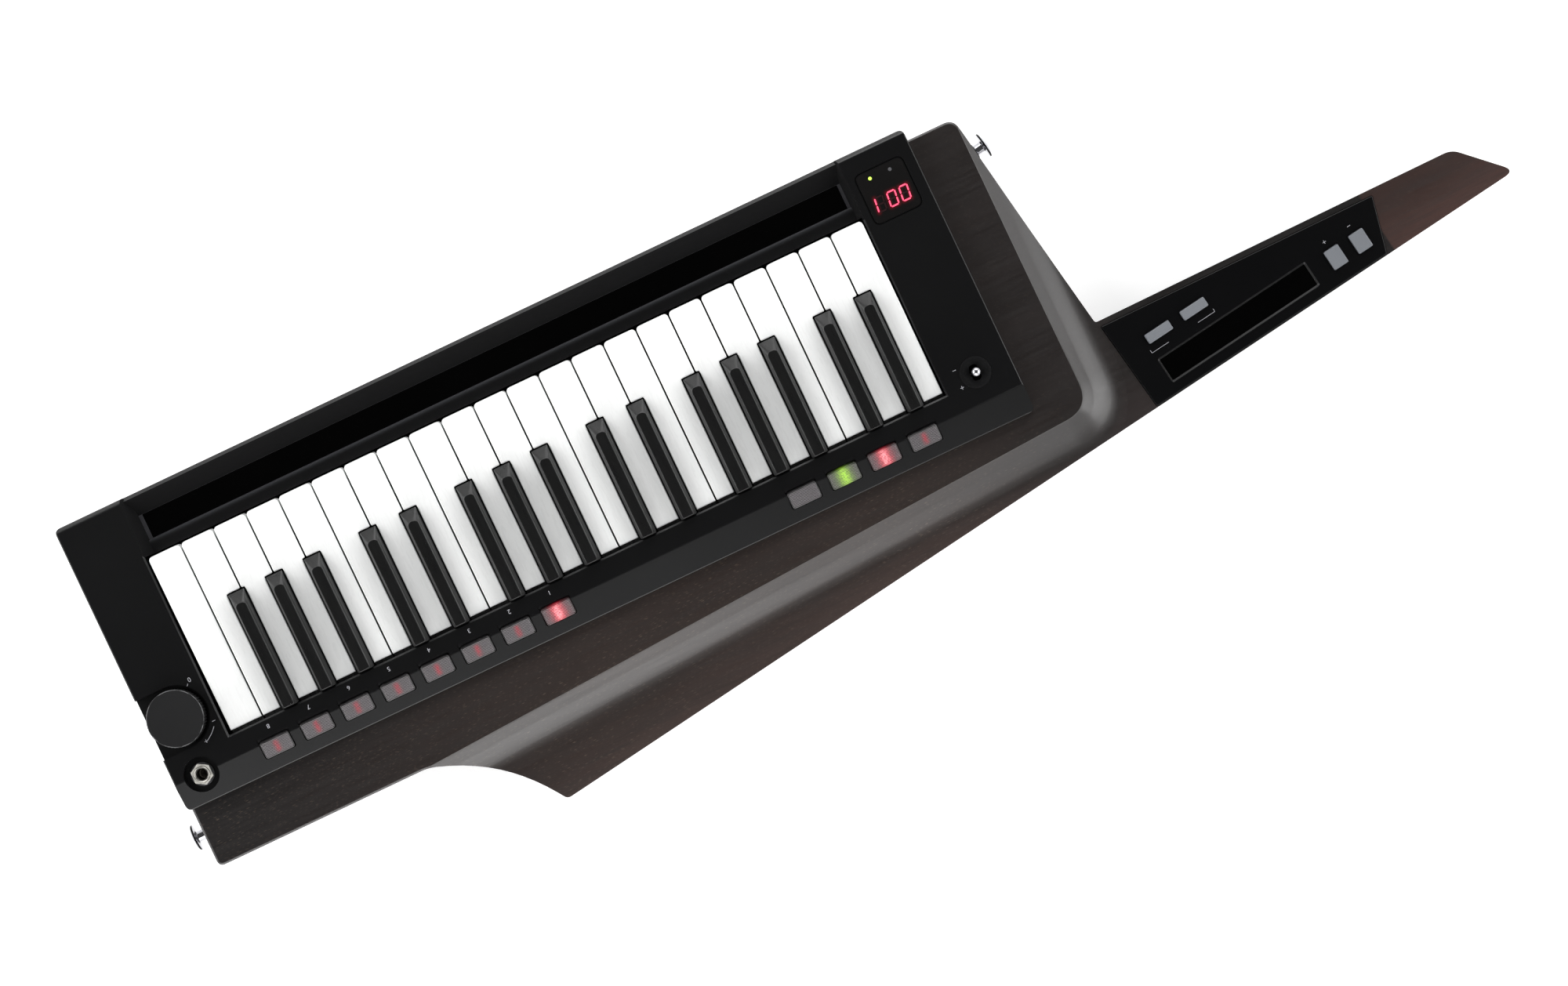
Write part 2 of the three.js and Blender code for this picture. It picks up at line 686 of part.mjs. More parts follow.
// A strap button that stands on the YZ plane at the origin and points along X.
function strapButton() {
  const neckEnd = STRAP_LENGTH - STRAP_DISC;
  const profile = [
    [0, -STRAP_COLLAR],
    [STRAP_COLLAR_RADIUS, -STRAP_COLLAR],
    [STRAP_COLLAR_RADIUS, STRAP_COLLAR - STRAP_DISC_EDGE],
    [STRAP_COLLAR_RADIUS - STRAP_DISC_EDGE, STRAP_COLLAR],
    [STRAP_STEM_RADIUS, STRAP_COLLAR],
    [STRAP_STEM_RADIUS, neckEnd - STRAP_DISC_EDGE],
    [STRAP_RADIUS - STRAP_DISC_EDGE, neckEnd],
    [STRAP_RADIUS, neckEnd + STRAP_DISC_EDGE],
    [STRAP_RADIUS, STRAP_LENGTH - STRAP_DISC_EDGE],
    [STRAP_RADIUS - STRAP_DISC_EDGE, STRAP_LENGTH],
    [0, STRAP_LENGTH],
  ];
  return turned(profile, ROUND_STEPS).rotate([0, 90, 0]);
}

function woodBody() {
  const outline = bodyOutline();
  const slabLevels = [...roundedBottom(0, BACK_EDGE), ...roundedTop(WING_HEIGHT, TOP_EDGE)];
  const slab = layered(outline, slabLevels, OUTLINE_STEPS);
  const fullLevels = [[BACK_EDGE, 0], ...roundedTop(BODY_HEIGHT, TOP_EDGE)];
  const full = layered(offsetCorners(outline, -MIDDLE_INSET), fullLevels, OUTLINE_STEPS);
  const lean = Math.atan2(CROOK_X - SHOULDER_X, woodFront - CROOK_Y);
  const leanShare = (woodFront - HEAD_STRAP_Y) / (woodFront - CROOK_Y);
  const sideX = caseHead + THREE.MathUtils.lerp(SHOULDER_X, CROOK_X, leanShare);
  const tailStrap = strapButton()
    .rotate([0, 0, 180])
    .translate([woodTail, -TAIL_STRAP_Y, STRAP_HEIGHT]);
  const headStrap = strapButton()
    .rotate([0, 0, THREE.MathUtils.radToDeg(lean)])
    .translate([sideX, HEAD_STRAP_Y, HEAD_STRAP_HEIGHT]);
  const whole = join(slab, plateau().intersect(full), tailStrap, headStrap);
  const pocket = box(pocketTail, pocketHead, POCKET_REAR_LEDGE, pocketFront, POCKET_CORNER);
  const rebate = box(
    pocketTail - REBATE,
    pocketHead + REBATE_HEAD,
    POCKET_REAR_LEDGE - REBATE,
    pocketFront + REBATE,
    POCKET_CORNER,
  );
  const underFront = box(
    woodTail - OVERRUN,
    caseHead + SEAT_GAP,
    pocketFront - POCKET_CORNER,
    woodFront + OVERRUN,
  );
  const panelPocket = offsetCorners(panelCorners(), SEAT_GAP);
  const channel = box(
    LONG_STRIP_START,
    octaveDownX + OCTAVE_BUTTON_LENGTH,
    CHANNEL_MARGIN,
    MODE_BUTTON_HEIGHT - CHANNEL_MARGIN,
  );
  const modeChannel = box(
    FILTER_BUTTON_X - MODE_BUTTON_LENGTH,
    PITCH_BUTTON_X + MODE_BUTTON_LENGTH,
    MODE_BUTTON_HEIGHT - MODE_BUTTON_WIDTH,
    MODE_BUTTON_HEIGHT + MODE_BUTTON_WIDTH,
  );
  const pocketFloor = panelUnderside - SEAT_GAP;
  const neckCuts = join(
    prism(panelPocket, pocketFloor, BODY_HEIGHT),
    prism(channel, pocketFloor - CHANNEL_DEPTH, BODY_HEIGHT),
    prism(modeChannel, pocketFloor - CHANNEL_DEPTH, BODY_HEIGHT),
  ).transform(neckMatrix().toArray());
  return cut(
    whole,
    prism(pocket, -OVERRUN, BODY_HEIGHT + OVERRUN),
    prism(rebate, -OVERRUN, COVER_THICKNESS + SEAT_GAP),
    prism(underFront, troughUnderside - SEAT_GAP, BODY_HEIGHT + OVERRUN),
    neckBackCut(),
    neckCuts,
  );
}

// Top case

// The hollow of the front rail, as a profile of [y, z] corners.
function troughProfile(thickness) {
  const floor = stripTop - thickness;
  const band = thickness === 0 ? bandTop : floor;
  const curve = Array.from({ length: TROUGH_CURVE_STEPS + 1 }, (_, i) => {
    const share = i / TROUGH_CURVE_STEPS;
    const y = THREE.MathUtils.lerp(stripEnd, ridgeY, share);
    const rise = (lipTop - stripTop) * (1 - Math.cos((share * Math.PI) / 2));
    return [y, floor + rise];
  });
  const above = caseTop + OVERRUN;
  return [
    [openingFront - OVERRUN, band],
    [stripStart, band],
    [stripStart + BAND_STEP, floor],
    ...curve,
    [caseFront + OVERRUN, lipTop - thickness - ((FRONT_BEVEL + OVERRUN) * FRONT_BEVEL_DROP) / FRONT_BEVEL],
    [caseFront + OVERRUN, above],
    [openingFront - OVERRUN, above],
  ];
}

// Its slanted ends, as a profile of [x, z] corners.
function troughEnds(thickness) {
  const floor = stripTop - thickness;
  const above = caseTop + OVERRUN;
  const tail = openingTail - thickness;
  const head = openingHead + thickness + RIM_CHAMFER;
  return [
    [tail, above],
    [head, above],
    [head, caseTop],
    [head - TROUGH_HEAD_SLOPE, stripTop],
    [head - TROUGH_HEAD_SLOPE, floor - OVERRUN],
    [tail + TROUGH_TAIL_SLOPE, floor - OVERRUN],
    [tail + TROUGH_TAIL_SLOPE, stripTop],
    [tail, caseTop],
  ].reverse();
}

function trough(thickness) {
  const along = barAlongX(troughProfile(thickness), caseTail, caseHead);
  return along.intersect(barAlongY(troughEnds(thickness), REAR_RAIL, caseFront + CASE_WALL));
}

function facetPlace(x) {
  const drop = (FACET_DEPTH - BUTTON_Y) * Math.tan(radians(FACET_TILT_DEG));
  return [x, BUTTON_Y, caseTop - drop];
}

function onFacet(body, x) {
  return body.rotate([FACET_TILT_DEG, 0, 0]).translate(facetPlace(x));
}

function buttonPlaces() {
  const places = [];
  for (let i = 0; i < PROGRAM_COUNT; i++) {
    places.push(["program_button_" + (PROGRAM_COUNT - i), PROGRAM_FIRST_X + i * BUTTON_PITCH]);
  }
  FUNCTION_NAMES.forEach((name, i) => {
    places.push([name + "_button", FUNCTION_FIRST_X + i * BUTTON_PITCH]);
  });
  return places;
}

function buttonCorners(margin = 0) {
  const half = BUTTON_LENGTH / 2 + margin;
  const reach = BUTTON_WIDTH / 2 + margin;
  return box(-half, half, -reach, reach, BUTTON_CORNER + margin);
}

function buttonHole(x) {
  const hole = prism(buttonCorners(BUTTON_CLEARANCE), -CASE_ROOF - CASE_ROOF, CASE_ROOF);
  const half = BUTTON_LENGTH / 2 + BUTTON_CLEARANCE;
  const top = BUTTON_Y + BUTTON_WIDTH / 2;
  const ridge = top + SCOOP_REACH;
  const drop = SCOOP_REACH * Math.tan(radians(FACET_TILT_DEG));
  const scoop = barAlongX(
    [
      [top, caseTop - drop],
      [ridge, caseTop],
      [ridge, caseTop + OVERRUN],
      [top, caseTop + OVERRUN],
    ],
    x - half,
    x + half,
  );
  return join(onFacet(hole, x), scoop);
}

function knobWell() {
  const round = post(knobX, KNOB_Y, KNOB_WELL_RADIUS, wellFloorTop, caseTop + OVERRUN, FINE_STEPS);
  const open = box(caseTail - OVERRUN, knobX, KNOB_Y - KNOB_WELL_RADIUS, KNOB_Y + KNOB_WELL_RADIUS);
  return join(round, prism(open, wellFloorTop, caseTop + OVERRUN));
}

// What stays solid under the knob's well: its floor, its wall and the collar of the shaft.
function knobCup() {
  const floor = wellFloorTop - WELL_FLOOR;
  const radius = KNOB_WELL_RADIUS + CASE_WALL - WELD;
  const cup = post(knobX, KNOB_Y, radius, floor, caseTop - WELD, FINE_STEPS);
  const back = box(caseTail + WELD, knobX, KNOB_Y - radius, KNOB_Y + radius);
  const collar = post(knobX, KNOB_Y, KNOB_COLLAR_RADIUS, floor - KNOB_COLLAR, floor + WELD);
  return join(cup, prism(back, floor, caseTop - WELD), collar);
}

function jackCup() {
  const floor = jackFloorTop - WELL_FLOOR;
  return post(jackX, JACK_Y, JACK_WELL_RADIUS + CASE_WALL - WELD, floor, caseTop - WELD);
}

function leverRing() {
  const profile = [
    [0, caseTop - CASE_ROOF],
    [LEVER_RING_RADIUS, caseTop - CASE_ROOF],
    [LEVER_RING_RADIUS, caseTop],
    [LEVER_RING_RADIUS - LEVER_RING_EDGE, caseTop + LEVER_RING_RISE],
    [0, caseTop + LEVER_RING_RISE],
  ];
  return turned(profile, ROUND_STEPS).translate([leverX, LEVER_Y, 0]);
}

function leverFunnel() {
  const half = LEVER_SLOT_WIDTH / 2;
  const profile = [
    [0, roofUnderside],
    [half, roofUnderside],
    [LEVER_FUNNEL_RADIUS, caseTop + LEVER_RING_RISE],
    [LEVER_FUNNEL_RADIUS, caseTop + LEVER_RING_RISE + OVERRUN],
    [0, caseTop + LEVER_RING_RISE + OVERRUN],
  ];
  const slot = box(-half, half, -LEVER_SLOT_LENGTH / 2, LEVER_SLOT_LENGTH / 2, half);
  return join(
    turned(profile, ROUND_STEPS),
    prism(slot, roofUnderside - OVERRUN, caseTop + LEVER_RING_RISE + OVERRUN),
  ).translate([leverX, LEVER_Y, 0]);
}

// The two ears under the slot that hold the lever's pin.
function leverEars() {
  const pivot = caseTop - LEVER_PIVOT_DROP;
  const half = LEVER_EAR_WIDTH / 2;
  const ear = [
    [LEVER_Y - half, pivot - LEVER_EAR_BELOW, LEVER_EAR],
    [LEVER_Y + half, pivot - LEVER_EAR_BELOW, LEVER_EAR],
    [LEVER_Y + half, roofUnderside + WELD],
    [LEVER_Y - half, roofUnderside + WELD],
  ];
  const inner = LEVER_EAR_SPACING;
  const outer = LEVER_EAR_SPACING + LEVER_EAR;
  const pair = join(
    barAlongX(ear, leverX - outer, leverX - inner),
    barAlongX(ear, leverX + inner, leverX + outer),
  );
  const hole = turned(
    [
      [0, -outer - OVERRUN],
      [LEVER_PIN_RADIUS + SEAT_GAP, -outer - OVERRUN],
      [LEVER_PIN_RADIUS + SEAT_GAP, outer + OVERRUN],
      [0, outer + OVERRUN],
    ],
    SMALL_STEPS,
  );
  return pair.subtract(hole.rotate([0, 90, 0]).translate([leverX, LEVER_Y, pivot]));
}

function displayGroove() {
  const x1 = caseHead - DISPLAY_HEAD_INSET;
  const y1 = caseFront - DISPLAY_FRONT_INSET;
  const window = box(x1 - DISPLAY_WIDTH, x1, y1 - DISPLAY_DEPTH, y1, DISPLAY_CORNER);
  const inner = offsetCorners(window, -DISPLAY_GROOVE);
  return cut(
    prism(window, caseTop - DISPLAY_SINK, caseTop + OVERRUN),
    prism(inner, caseTop - DISPLAY_SINK - WELD, caseTop + OVERRUN + OVERRUN),
  );
}

function topCase() {
  const plan = box(caseTail, caseHead, 0, caseFront, CASE_CORNER);
  const skirt = box(caseTail + CASE_CORNER, caseHead - CASE_CORNER, caseFront - CASE_WALL, caseFront);
  const outer = join(
    layered(plan, [[caseSeat, 0], ...roundedTop(caseTop, CASE_EDGE, CHAMFER_STEPS)], CORNER_STEPS),
    prism(skirt, frontSkirtBottom, caseSeat + WELD),
  );
  const facet = barAlongX(
    [
      [-OVERRUN, caseTop - facetDrop - OVERRUN * Math.tan(radians(FACET_TILT_DEG))],
      [FACET_DEPTH, caseTop],
      [FACET_DEPTH, caseTop + OVERRUN],
      [-OVERRUN, caseTop + OVERRUN],
    ],
    caseTail - OVERRUN,
    caseHead + OVERRUN,
  );
  const frontBevel = barAlongX(
    [
      [ridgeY, caseTop],
      [caseFront + FRONT_BEVEL, caseTop - FRONT_BEVEL_DROP - FRONT_BEVEL_DROP],
      [caseFront + FRONT_BEVEL, caseTop + OVERRUN],
      [ridgeY, caseTop + OVERRUN],
    ],
    caseTail - OVERRUN,
    caseHead + OVERRUN,
  );
  const slipFront = openingFront + SLIP_WALL;
  const inside = barAlongX(
    [
      [CASE_WALL, frontSkirtBottom - OVERRUN],
      [caseFront - CASE_WALL, frontSkirtBottom - OVERRUN],
      [caseFront - CASE_WALL, roofUnderside],
      [FACET_DEPTH + CASE_ROOF * Math.tan(radians(FACET_TILT_DEG / 2)), roofUnderside],
      [CASE_WALL, facetUnderside],
    ],
    caseTail + CASE_WALL,
    caseHead - CASE_WALL,
  );
  const skirtsY0 = REAR_RAIL + SLIP_WALL;
  const slip = prism(
    box(openingTail - SLIP_WALL, openingHead + SLIP_WALL, openingFront, slipFront),
    slipBottom,
    bandTop,
  );
  const tailSkirt = prism(
    box(openingTail - SLIP_WALL, openingTail, skirtsY0, slipFront),
    sideSkirtBottom,
    roofUnderside + WELD,
  );
  const headSkirt = prism(
    box(openingHead, openingHead + SLIP_WALL, skirtsY0, slipFront),
    sideSkirtBottom,
    roofUnderside + WELD,
  );
  const opening = box(openingTail, openingHead, REAR_RAIL, openingFront);
  const openingCut = layered(opening, [
    [slipBottom - OVERRUN, 0],
    [caseTop - RIM_CHAMFER, 0],
    [caseTop + OVERRUN, RIM_CHAMFER + OVERRUN],
  ]);
  const bossPosts = bosses.map(([x, y]) => {
    const low = COVER_THICKNESS + COVER_BOSS + SEAT_GAP;
    const outside = post(x, y, BOSS_RADIUS, low, roofUnderside + WELD, SMALL_STEPS);
    const length = roofUnderside - low;
    return outside.subtract(
      post(x, y, BOSS_HOLE_RADIUS, low - OVERRUN, low + length / 2, SMALL_STEPS),
    );
  });
  const shell = cut(outer, inside.subtract(trough(TROUGH_FLOOR)));
  const filled = join(
    shell,
    slip,
    tailSkirt,
    headSkirt,
    knobCup().intersect(outer.add(inside)),
    jackCup(),
    leverRing(),
    leverEars(),
    ...bossPosts,
  );
  const shaftHole = post(
    knobX,
    KNOB_Y,
    KNOB_SHAFT_RADIUS + SEAT_GAP,
    wellFloorTop - WELL_FLOOR - KNOB_COLLAR - OVERRUN,
    caseTop,
  );
  const bushLow = jackFloorTop - WELL_FLOOR - OVERRUN;
  const bushHole = post(jackX, JACK_Y, JACK_BUSH_RADIUS + SEAT_GAP, bushLow, caseTop);
  const jackWell = post(jackX, JACK_Y, JACK_WELL_RADIUS, jackFloorTop, caseTop + OVERRUN, FINE_STEPS);
  return cut(
    filled,
    facet,
    frontBevel,
    trough(0),
    openingCut,
    knobWell(),
    shaftHole,
    jackWell,
    bushHole,
    leverFunnel(),
    displayGroove(),
    ...buttonPlaces().map(([, x]) => buttonHole(x)),
  );
}

// A cap that stands on its own frame's XY plane, with a flange that keeps it in.
function buttonCap(corners, proud, edge, plate, flangeCorners, flange) {
  const flangeTop = -plate - SEAT_GAP;
  const cap = layered(corners, [
    [flangeTop - WELD, 0],
    [proud - edge, 0],
    [proud, -edge],
  ]);
  return join(cap, prism(flangeCorners, flangeTop - flange, flangeTop));
}

function railButton() {
  const reach = BUTTON_CLEARANCE + BUTTON_LIP;
  const half = BUTTON_LENGTH / 2 + reach;
  const back = BUTTON_WIDTH / 2 + reach;
  const flange = box(-half, half, -back, back - reach - BUTTON_FLANGE_CUTBACK + BUTTON_LIP);
  const flangeTop = -CASE_ROOF - SEAT_GAP;
  const nubHalf = BUTTON_NUB_WIDTH / 2;
  const nub = box(-nubHalf, nubHalf, -nubHalf, nubHalf);
  return join(
    buttonCap(buttonCorners(), BUTTON_PROUD, BUTTON_EDGE, CASE_ROOF, flange, BUTTON_FLANGE),
    prism(nub, flangeTop - BUTTON_FLANGE - BUTTON_NUB, flangeTop - SEAT_GAP),
  );
}

function knob() {
  const rim = (radius, z, depth) => {
    const points = [];
    for (let i = 0; i < KNOB_FLUTES * 2; i++) {
      const angle = (i / KNOB_FLUTES) * Math.PI;
      const r = i % 2 === 0 ? radius : radius - depth;
      points.push(new THREE.Vector3(r * Math.cos(angle), r * Math.sin(angle), z));
    }
    return points;
  };
  const low = wellFloorTop + SEAT_GAP;
  const top = low + KNOB_HEIGHT;
  const body = loft([
    rim(KNOB_RADIUS, low, FLUTE_DEPTH),
    rim(KNOB_RADIUS, top - KNOB_TOP_EDGE, FLUTE_DEPTH),
    rim(KNOB_RADIUS - KNOB_TOP_EDGE, top, 0),
  ]);
  const dish = turned(
    [
      [0, top - KNOB_DISH],
      [KNOB_DISH_RADIUS - KNOB_DISH, top - KNOB_DISH],
      [KNOB_DISH_RADIUS + KNOB_DISH, top + KNOB_DISH],
      [0, top + KNOB_DISH],
    ],
    FINE_STEPS,
  );
  const shaft = post(0, 0, KNOB_SHAFT_RADIUS, low - KNOB_SHAFT, low + WELD, SMALL_STEPS);
  return join(body.subtract(dish), shaft);
}

function outputJack() {
  const floorLow = jackFloorTop - WELL_FLOOR - SEAT_GAP;
  const washerLow = jackFloorTop + SEAT_GAP;
  const nutLow = washerLow + JACK_WASHER;
  const nutTop = nutLow + JACK_NUT;
  const bushTop = nutTop + JACK_BUSH_PROUD;
  const base = floorLow - JACK_BODY;
  const nutRadius = JACK_NUT_ACROSS_FLATS / 2 / Math.cos(Math.PI / NUT_SIDES);
  const whole = join(
    post(0, 0, JACK_BODY_RADIUS, base, floorLow),
    post(0, 0, JACK_BUSH_RADIUS, floorLow - WELD, bushTop),
    post(0, 0, JACK_WASHER_RADIUS, washerLow, nutLow + JACK_WASHER / 2),
    post(0, 0, nutRadius, nutLow, nutTop, NUT_SIDES).rotate([0, 0, 180 / NUT_SIDES]),
  );
  return whole.subtract(post(0, 0, JACK_BORE_RADIUS, base + JACK_BASE, bushTop + OVERRUN));
}

function soundLever() {
  const tip = LEVER_TIP_RISE + LEVER_PIVOT_DROP;
  const swell = tip - LEVER_TIP_RADIUS;
  const profile = [
    [0, -LEVER_STUB],
    [LEVER_NECK_RADIUS, -LEVER_STUB],
    [LEVER_NECK_RADIUS, LEVER_PIVOT_DROP],
    [LEVER_TIP_RADIUS, swell],
  ];
  for (let i = 1; i <= EDGE_STEPS; i++) {
    const angle = (i / EDGE_STEPS) * (Math.PI / 2);
    const radius = i === EDGE_STEPS ? 0 : LEVER_TIP_RADIUS * Math.cos(angle);
    profile.push([radius, swell + LEVER_TIP_RADIUS * Math.sin(angle)]);
  }
  const half = LEVER_PIN_LENGTH / 2;
  const pin = turned(
    [
      [0, -half],
      [LEVER_PIN_RADIUS, -half],
      [LEVER_PIN_RADIUS, half],
      [0, half],
    ],
    SMALL_STEPS,
  );
  return join(turned(profile, SMALL_STEPS), pin.rotate([0, 90, 0]));
}

// Keys, in a frame with its origin on the hinge axis and Y along the key

// The side view of the part under the rear rail: a saddle that sits on the hinge bar.
function tailProfile() {
  const radius = HINGE_BAR_RADIUS + SEAT_GAP;
  const arch = [];
  for (let i = 0; i <= SADDLE_STEPS; i++) {
    const angle = Math.PI - (i / SADDLE_STEPS) * Math.PI;
    arch.push([radius * Math.cos(angle), radius * Math.sin(angle)]);
  }
  return [
    [-TAIL_BACK, TAIL_BOTTOM],
    [-radius, TAIL_BOTTOM],
    ...arch,
    [radius, TAIL_BOTTOM],
    [RAISED_START + WHITE_WALL, TAIL_BOTTOM],
    [RAISED_START + WHITE_WALL, TAIL_TOP],
    [-TAIL_BACK, TAIL_TOP],
  ];
}

// The leg under a key whose toe catches the stop rail.
function hook(middle, top) {
  const toeBottom = HOOK_TOE_TOP - HOOK_TOE_HEIGHT;
  const profile = [
    [hookLegY, toeBottom],
    [hookLegY + HOOK_LEG + HOOK_TOE, toeBottom],
    [hookLegY + HOOK_LEG + HOOK_TOE, HOOK_TOE_TOP],
    [hookLegY + HOOK_LEG, HOOK_TOE_TOP],
    [hookLegY + HOOK_LEG, top],
    [hookLegY, top],
  ];
  return barAlongX(profile, middle - HOOK_WIDTH / 2, middle + HOOK_WIDTH / 2);
}

// Where a black key stands, for the gap line on the tail side of a white key.
const BLACK_SHIFTS = {
  c: INNER_BLACK_SHIFT,
  d: -INNER_BLACK_SHIFT,
  f: OUTER_BLACK_SHIFT,
  g: 0,
  a: -OUTER_BLACK_SHIFT,
};
const NOTES = ["c", "d", "e", "f", "g", "a", "b"];
const FIRST_OCTAVE = 3;

function keyLayout() {
  return Array.from({ length: WHITE_COUNT }, (_, i) => {
    const note = NOTES[i % NOTES.length];
    const octave = FIRST_OCTAVE + Math.floor(i / NOTES.length);
    const tail = keyboardLength - (i + 1) * WHITE_PITCH;
    const last = i === WHITE_COUNT - 1;
    const black = note in BLACK_SHIFTS && !last ? tail + BLACK_SHIFTS[note] : null;
    return { note, octave, tail, head: tail + WHITE_PITCH, black };
  });
}

function whiteKeyPlan(tail, head, backTail, backHead, inset) {
  const front = whiteFront - inset;
  const corner = Math.max(WHITE_CORNER - inset, 0);
  const shoulder = whiteShoulder + inset;
  const corners = [[backTail + inset, RAISED_START + inset]];
  corners.push([backHead - inset, RAISED_START + inset]);
  if (backHead < head) {
    corners.push([backHead - inset, shoulder], [head - inset, shoulder]);
  }
  corners.push([head - inset, front, corner], [tail + inset, front, corner]);
  if (backTail > tail) {
    corners.push([tail + inset, shoulder], [backTail + inset, shoulder]);
  }
  return corners;
}

function whiteKeyBody(tail, head, backTail, backHead) {
  const plan = whiteKeyPlan(tail, head, backTail, backHead, 0);
  const hollow = whiteKeyPlan(tail, head, backTail, backHead, WHITE_WALL);
  const shell = cut(
    layered(plan, [
      [WHITE_BOTTOM, 0],
      [WHITE_TOP - WHITE_EDGE, 0],
      [WHITE_TOP, -WHITE_EDGE],
    ]),
    prism(hollow, WHITE_BOTTOM - OVERRUN, WHITE_TOP - WHITE_ROOF),
  );
  const rear = barAlongX(tailProfile(), backTail, backHead);
  return join(shell, rear, hook((backTail + backHead) / 2, WHITE_TOP - WHITE_EDGE));
}

function blackKeyBody(middle) {
  const half = BLACK_WIDTH / 2;
  const topHalf = BLACK_TOP_WIDTH / 2;
  const low = box(middle - half, middle + half, BLACK_RAISED_START, blackFront, BLACK_CORNER);
  const high = box(
    middle - topHalf,
    middle + topHalf,
    BLACK_RAISED_START + BLACK_BACK_LEAN,
    blackFront - BLACK_SLOPE_LENGTH,
    BLACK_CORNER,
  );
  const ring = (corners, z) => {
    return outlinePoints(corners, CHAMFER_STEPS).map((p) => new THREE.Vector3(p.x, p.y, z));
  };
  const top = WHITE_TOP + BLACK_HEIGHT;
  const body = loft([
    ring(low, BLACK_BOTTOM),
    ring(low, WHITE_TOP + BLACK_FOOT_RISE),
    ring(high, top - BLACK_EDGE),
    ring(offsetCorners(high, -BLACK_EDGE), top),
  ]);
  const hollow = offsetCorners(
    box(middle - half, middle + half, BLACK_RAISED_START, blackFront),
    -BLACK_WALL,
  );
  const shell = body.subtract(prism(hollow, BLACK_BOTTOM - OVERRUN, WHITE_TOP - BLACK_ROOF));
  const rear = barAlongX(tailProfile(), middle - half, middle + half);
  return join(shell, rear, hook(middle, WHITE_TOP - WHITE_EDGE));
}

// Back cover: plate, screw bosses, hinge ridge and stop rail
function lowerCase() {
  const plan = box(
    pocketTail - REBATE + SEAT_GAP,
    pocketHead + REBATE_HEAD - SEAT_GAP,
    POCKET_REAR_LEDGE - REBATE + SEAT_GAP,
    pocketFront + REBATE - SEAT_GAP,
    COVER_CORNER,
  );
  const plate = prism(plan, 0, COVER_THICKNESS);
  const web = barAlongX(
    [
      [hingeY - HINGE_WEB / 2, COVER_THICKNESS - WELD],
      [hingeY + HINGE_WEB / 2, COVER_THICKNESS - WELD],
      [hingeY + HINGE_WEB / 2, hingeZ],
      [hingeY - HINGE_WEB / 2, hingeZ],
    ],
    openingTail,
    openingHead,
  );
  const bar = post(0, 0, HINGE_BAR_RADIUS, openingTail, openingHead, SMALL_STEPS)
    .rotate([0, 90, 0])
    .translate([0, hingeY, hingeZ]);
  const toe = new THREE.Vector2(hookLegY + HOOK_LEG, HOOK_TOE_TOP).rotateAround(
    new THREE.Vector2(),
    keyTilt,
  );
  const toeEnd = new THREE.Vector2(hookLegY + HOOK_LEG + HOOK_TOE, HOOK_TOE_TOP);
  toeEnd.rotateAround(new THREE.Vector2(), keyTilt);
  const lipStart = hingeY + toe.x + STOP_HOOK_CLEARANCE;
  const lipLow = hingeZ + toeEnd.y + SEAT_GAP;
  const lipTopZ = lipLow + STOP_LIP_THICKNESS;
  const stop = barAlongX(
    [
      [lipStart + STOP_LIP - STOP_WEB, COVER_THICKNESS - WELD],
      [lipStart + STOP_LIP, COVER_THICKNESS - WELD],
      [lipStart + STOP_LIP, lipTopZ],
      [lipStart, lipTopZ],
      [lipStart, lipLow],
      [lipStart + STOP_LIP - STOP_WEB, lipLow],
    ],
    0,
    keyboardLength,
  );
  const posts = bosses.map(([x, y]) => {
    const top = COVER_THICKNESS + COVER_BOSS;
    return post(x, y, COVER_BOSS_RADIUS, COVER_THICKNESS - WELD, top, SMALL_STEPS);
  });
  const holes = bosses.flatMap(([x, y]) => [
    post(x, y, SCREW_HOLE_RADIUS, -OVERRUN, COVER_THICKNESS + COVER_BOSS + OVERRUN, SMALL_STEPS),
    post(x, y, SCREW_HEAD_RADIUS, -OVERRUN, SCREW_HEAD, SMALL_STEPS),
  ]);
  const door = box(DOOR_X, DOOR_X + DOOR_LENGTH, DOOR_Y, DOOR_Y + DOOR_WIDTH, COVER_CORNER);
  const groove = cut(
    prism(door, -OVERRUN, DOOR_GROOVE_DEPTH),
    prism(offsetCorners(door, -DOOR_GROOVE), -OVERRUN - OVERRUN, DOOR_GROOVE_DEPTH + WELD),
  );
  return cut(join(plate, web, bar, stop, ...posts), ...holes, groove);
}

// Neck panel, in the neck's own frame
function neckButtons() {
  return [
    ["filter_button", FILTER_BUTTON_X, MODE_BUTTON_HEIGHT, MODE_BUTTON_LENGTH, MODE_BUTTON_WIDTH],
    ["pitch_button", PITCH_BUTTON_X, MODE_BUTTON_HEIGHT, MODE_BUTTON_LENGTH, MODE_BUTTON_WIDTH],
    ["octave_up_button", octaveUpX, OCTAVE_BUTTON_HEIGHT, OCTAVE_BUTTON_LENGTH, OCTAVE_BUTTON_WIDTH],
    [
      "octave_down_button",
      octaveDownX,
      OCTAVE_BUTTON_HEIGHT,
      OCTAVE_BUTTON_LENGTH,
      OCTAVE_BUTTON_WIDTH,
    ],
  ];
}

function neckButtonCorners(length, width, margin = 0) {
  const corners = box(-length / 2, length / 2, -width / 2, width / 2, NECK_BUTTON_CORNER);
  return offsetCorners(corners, margin);
}

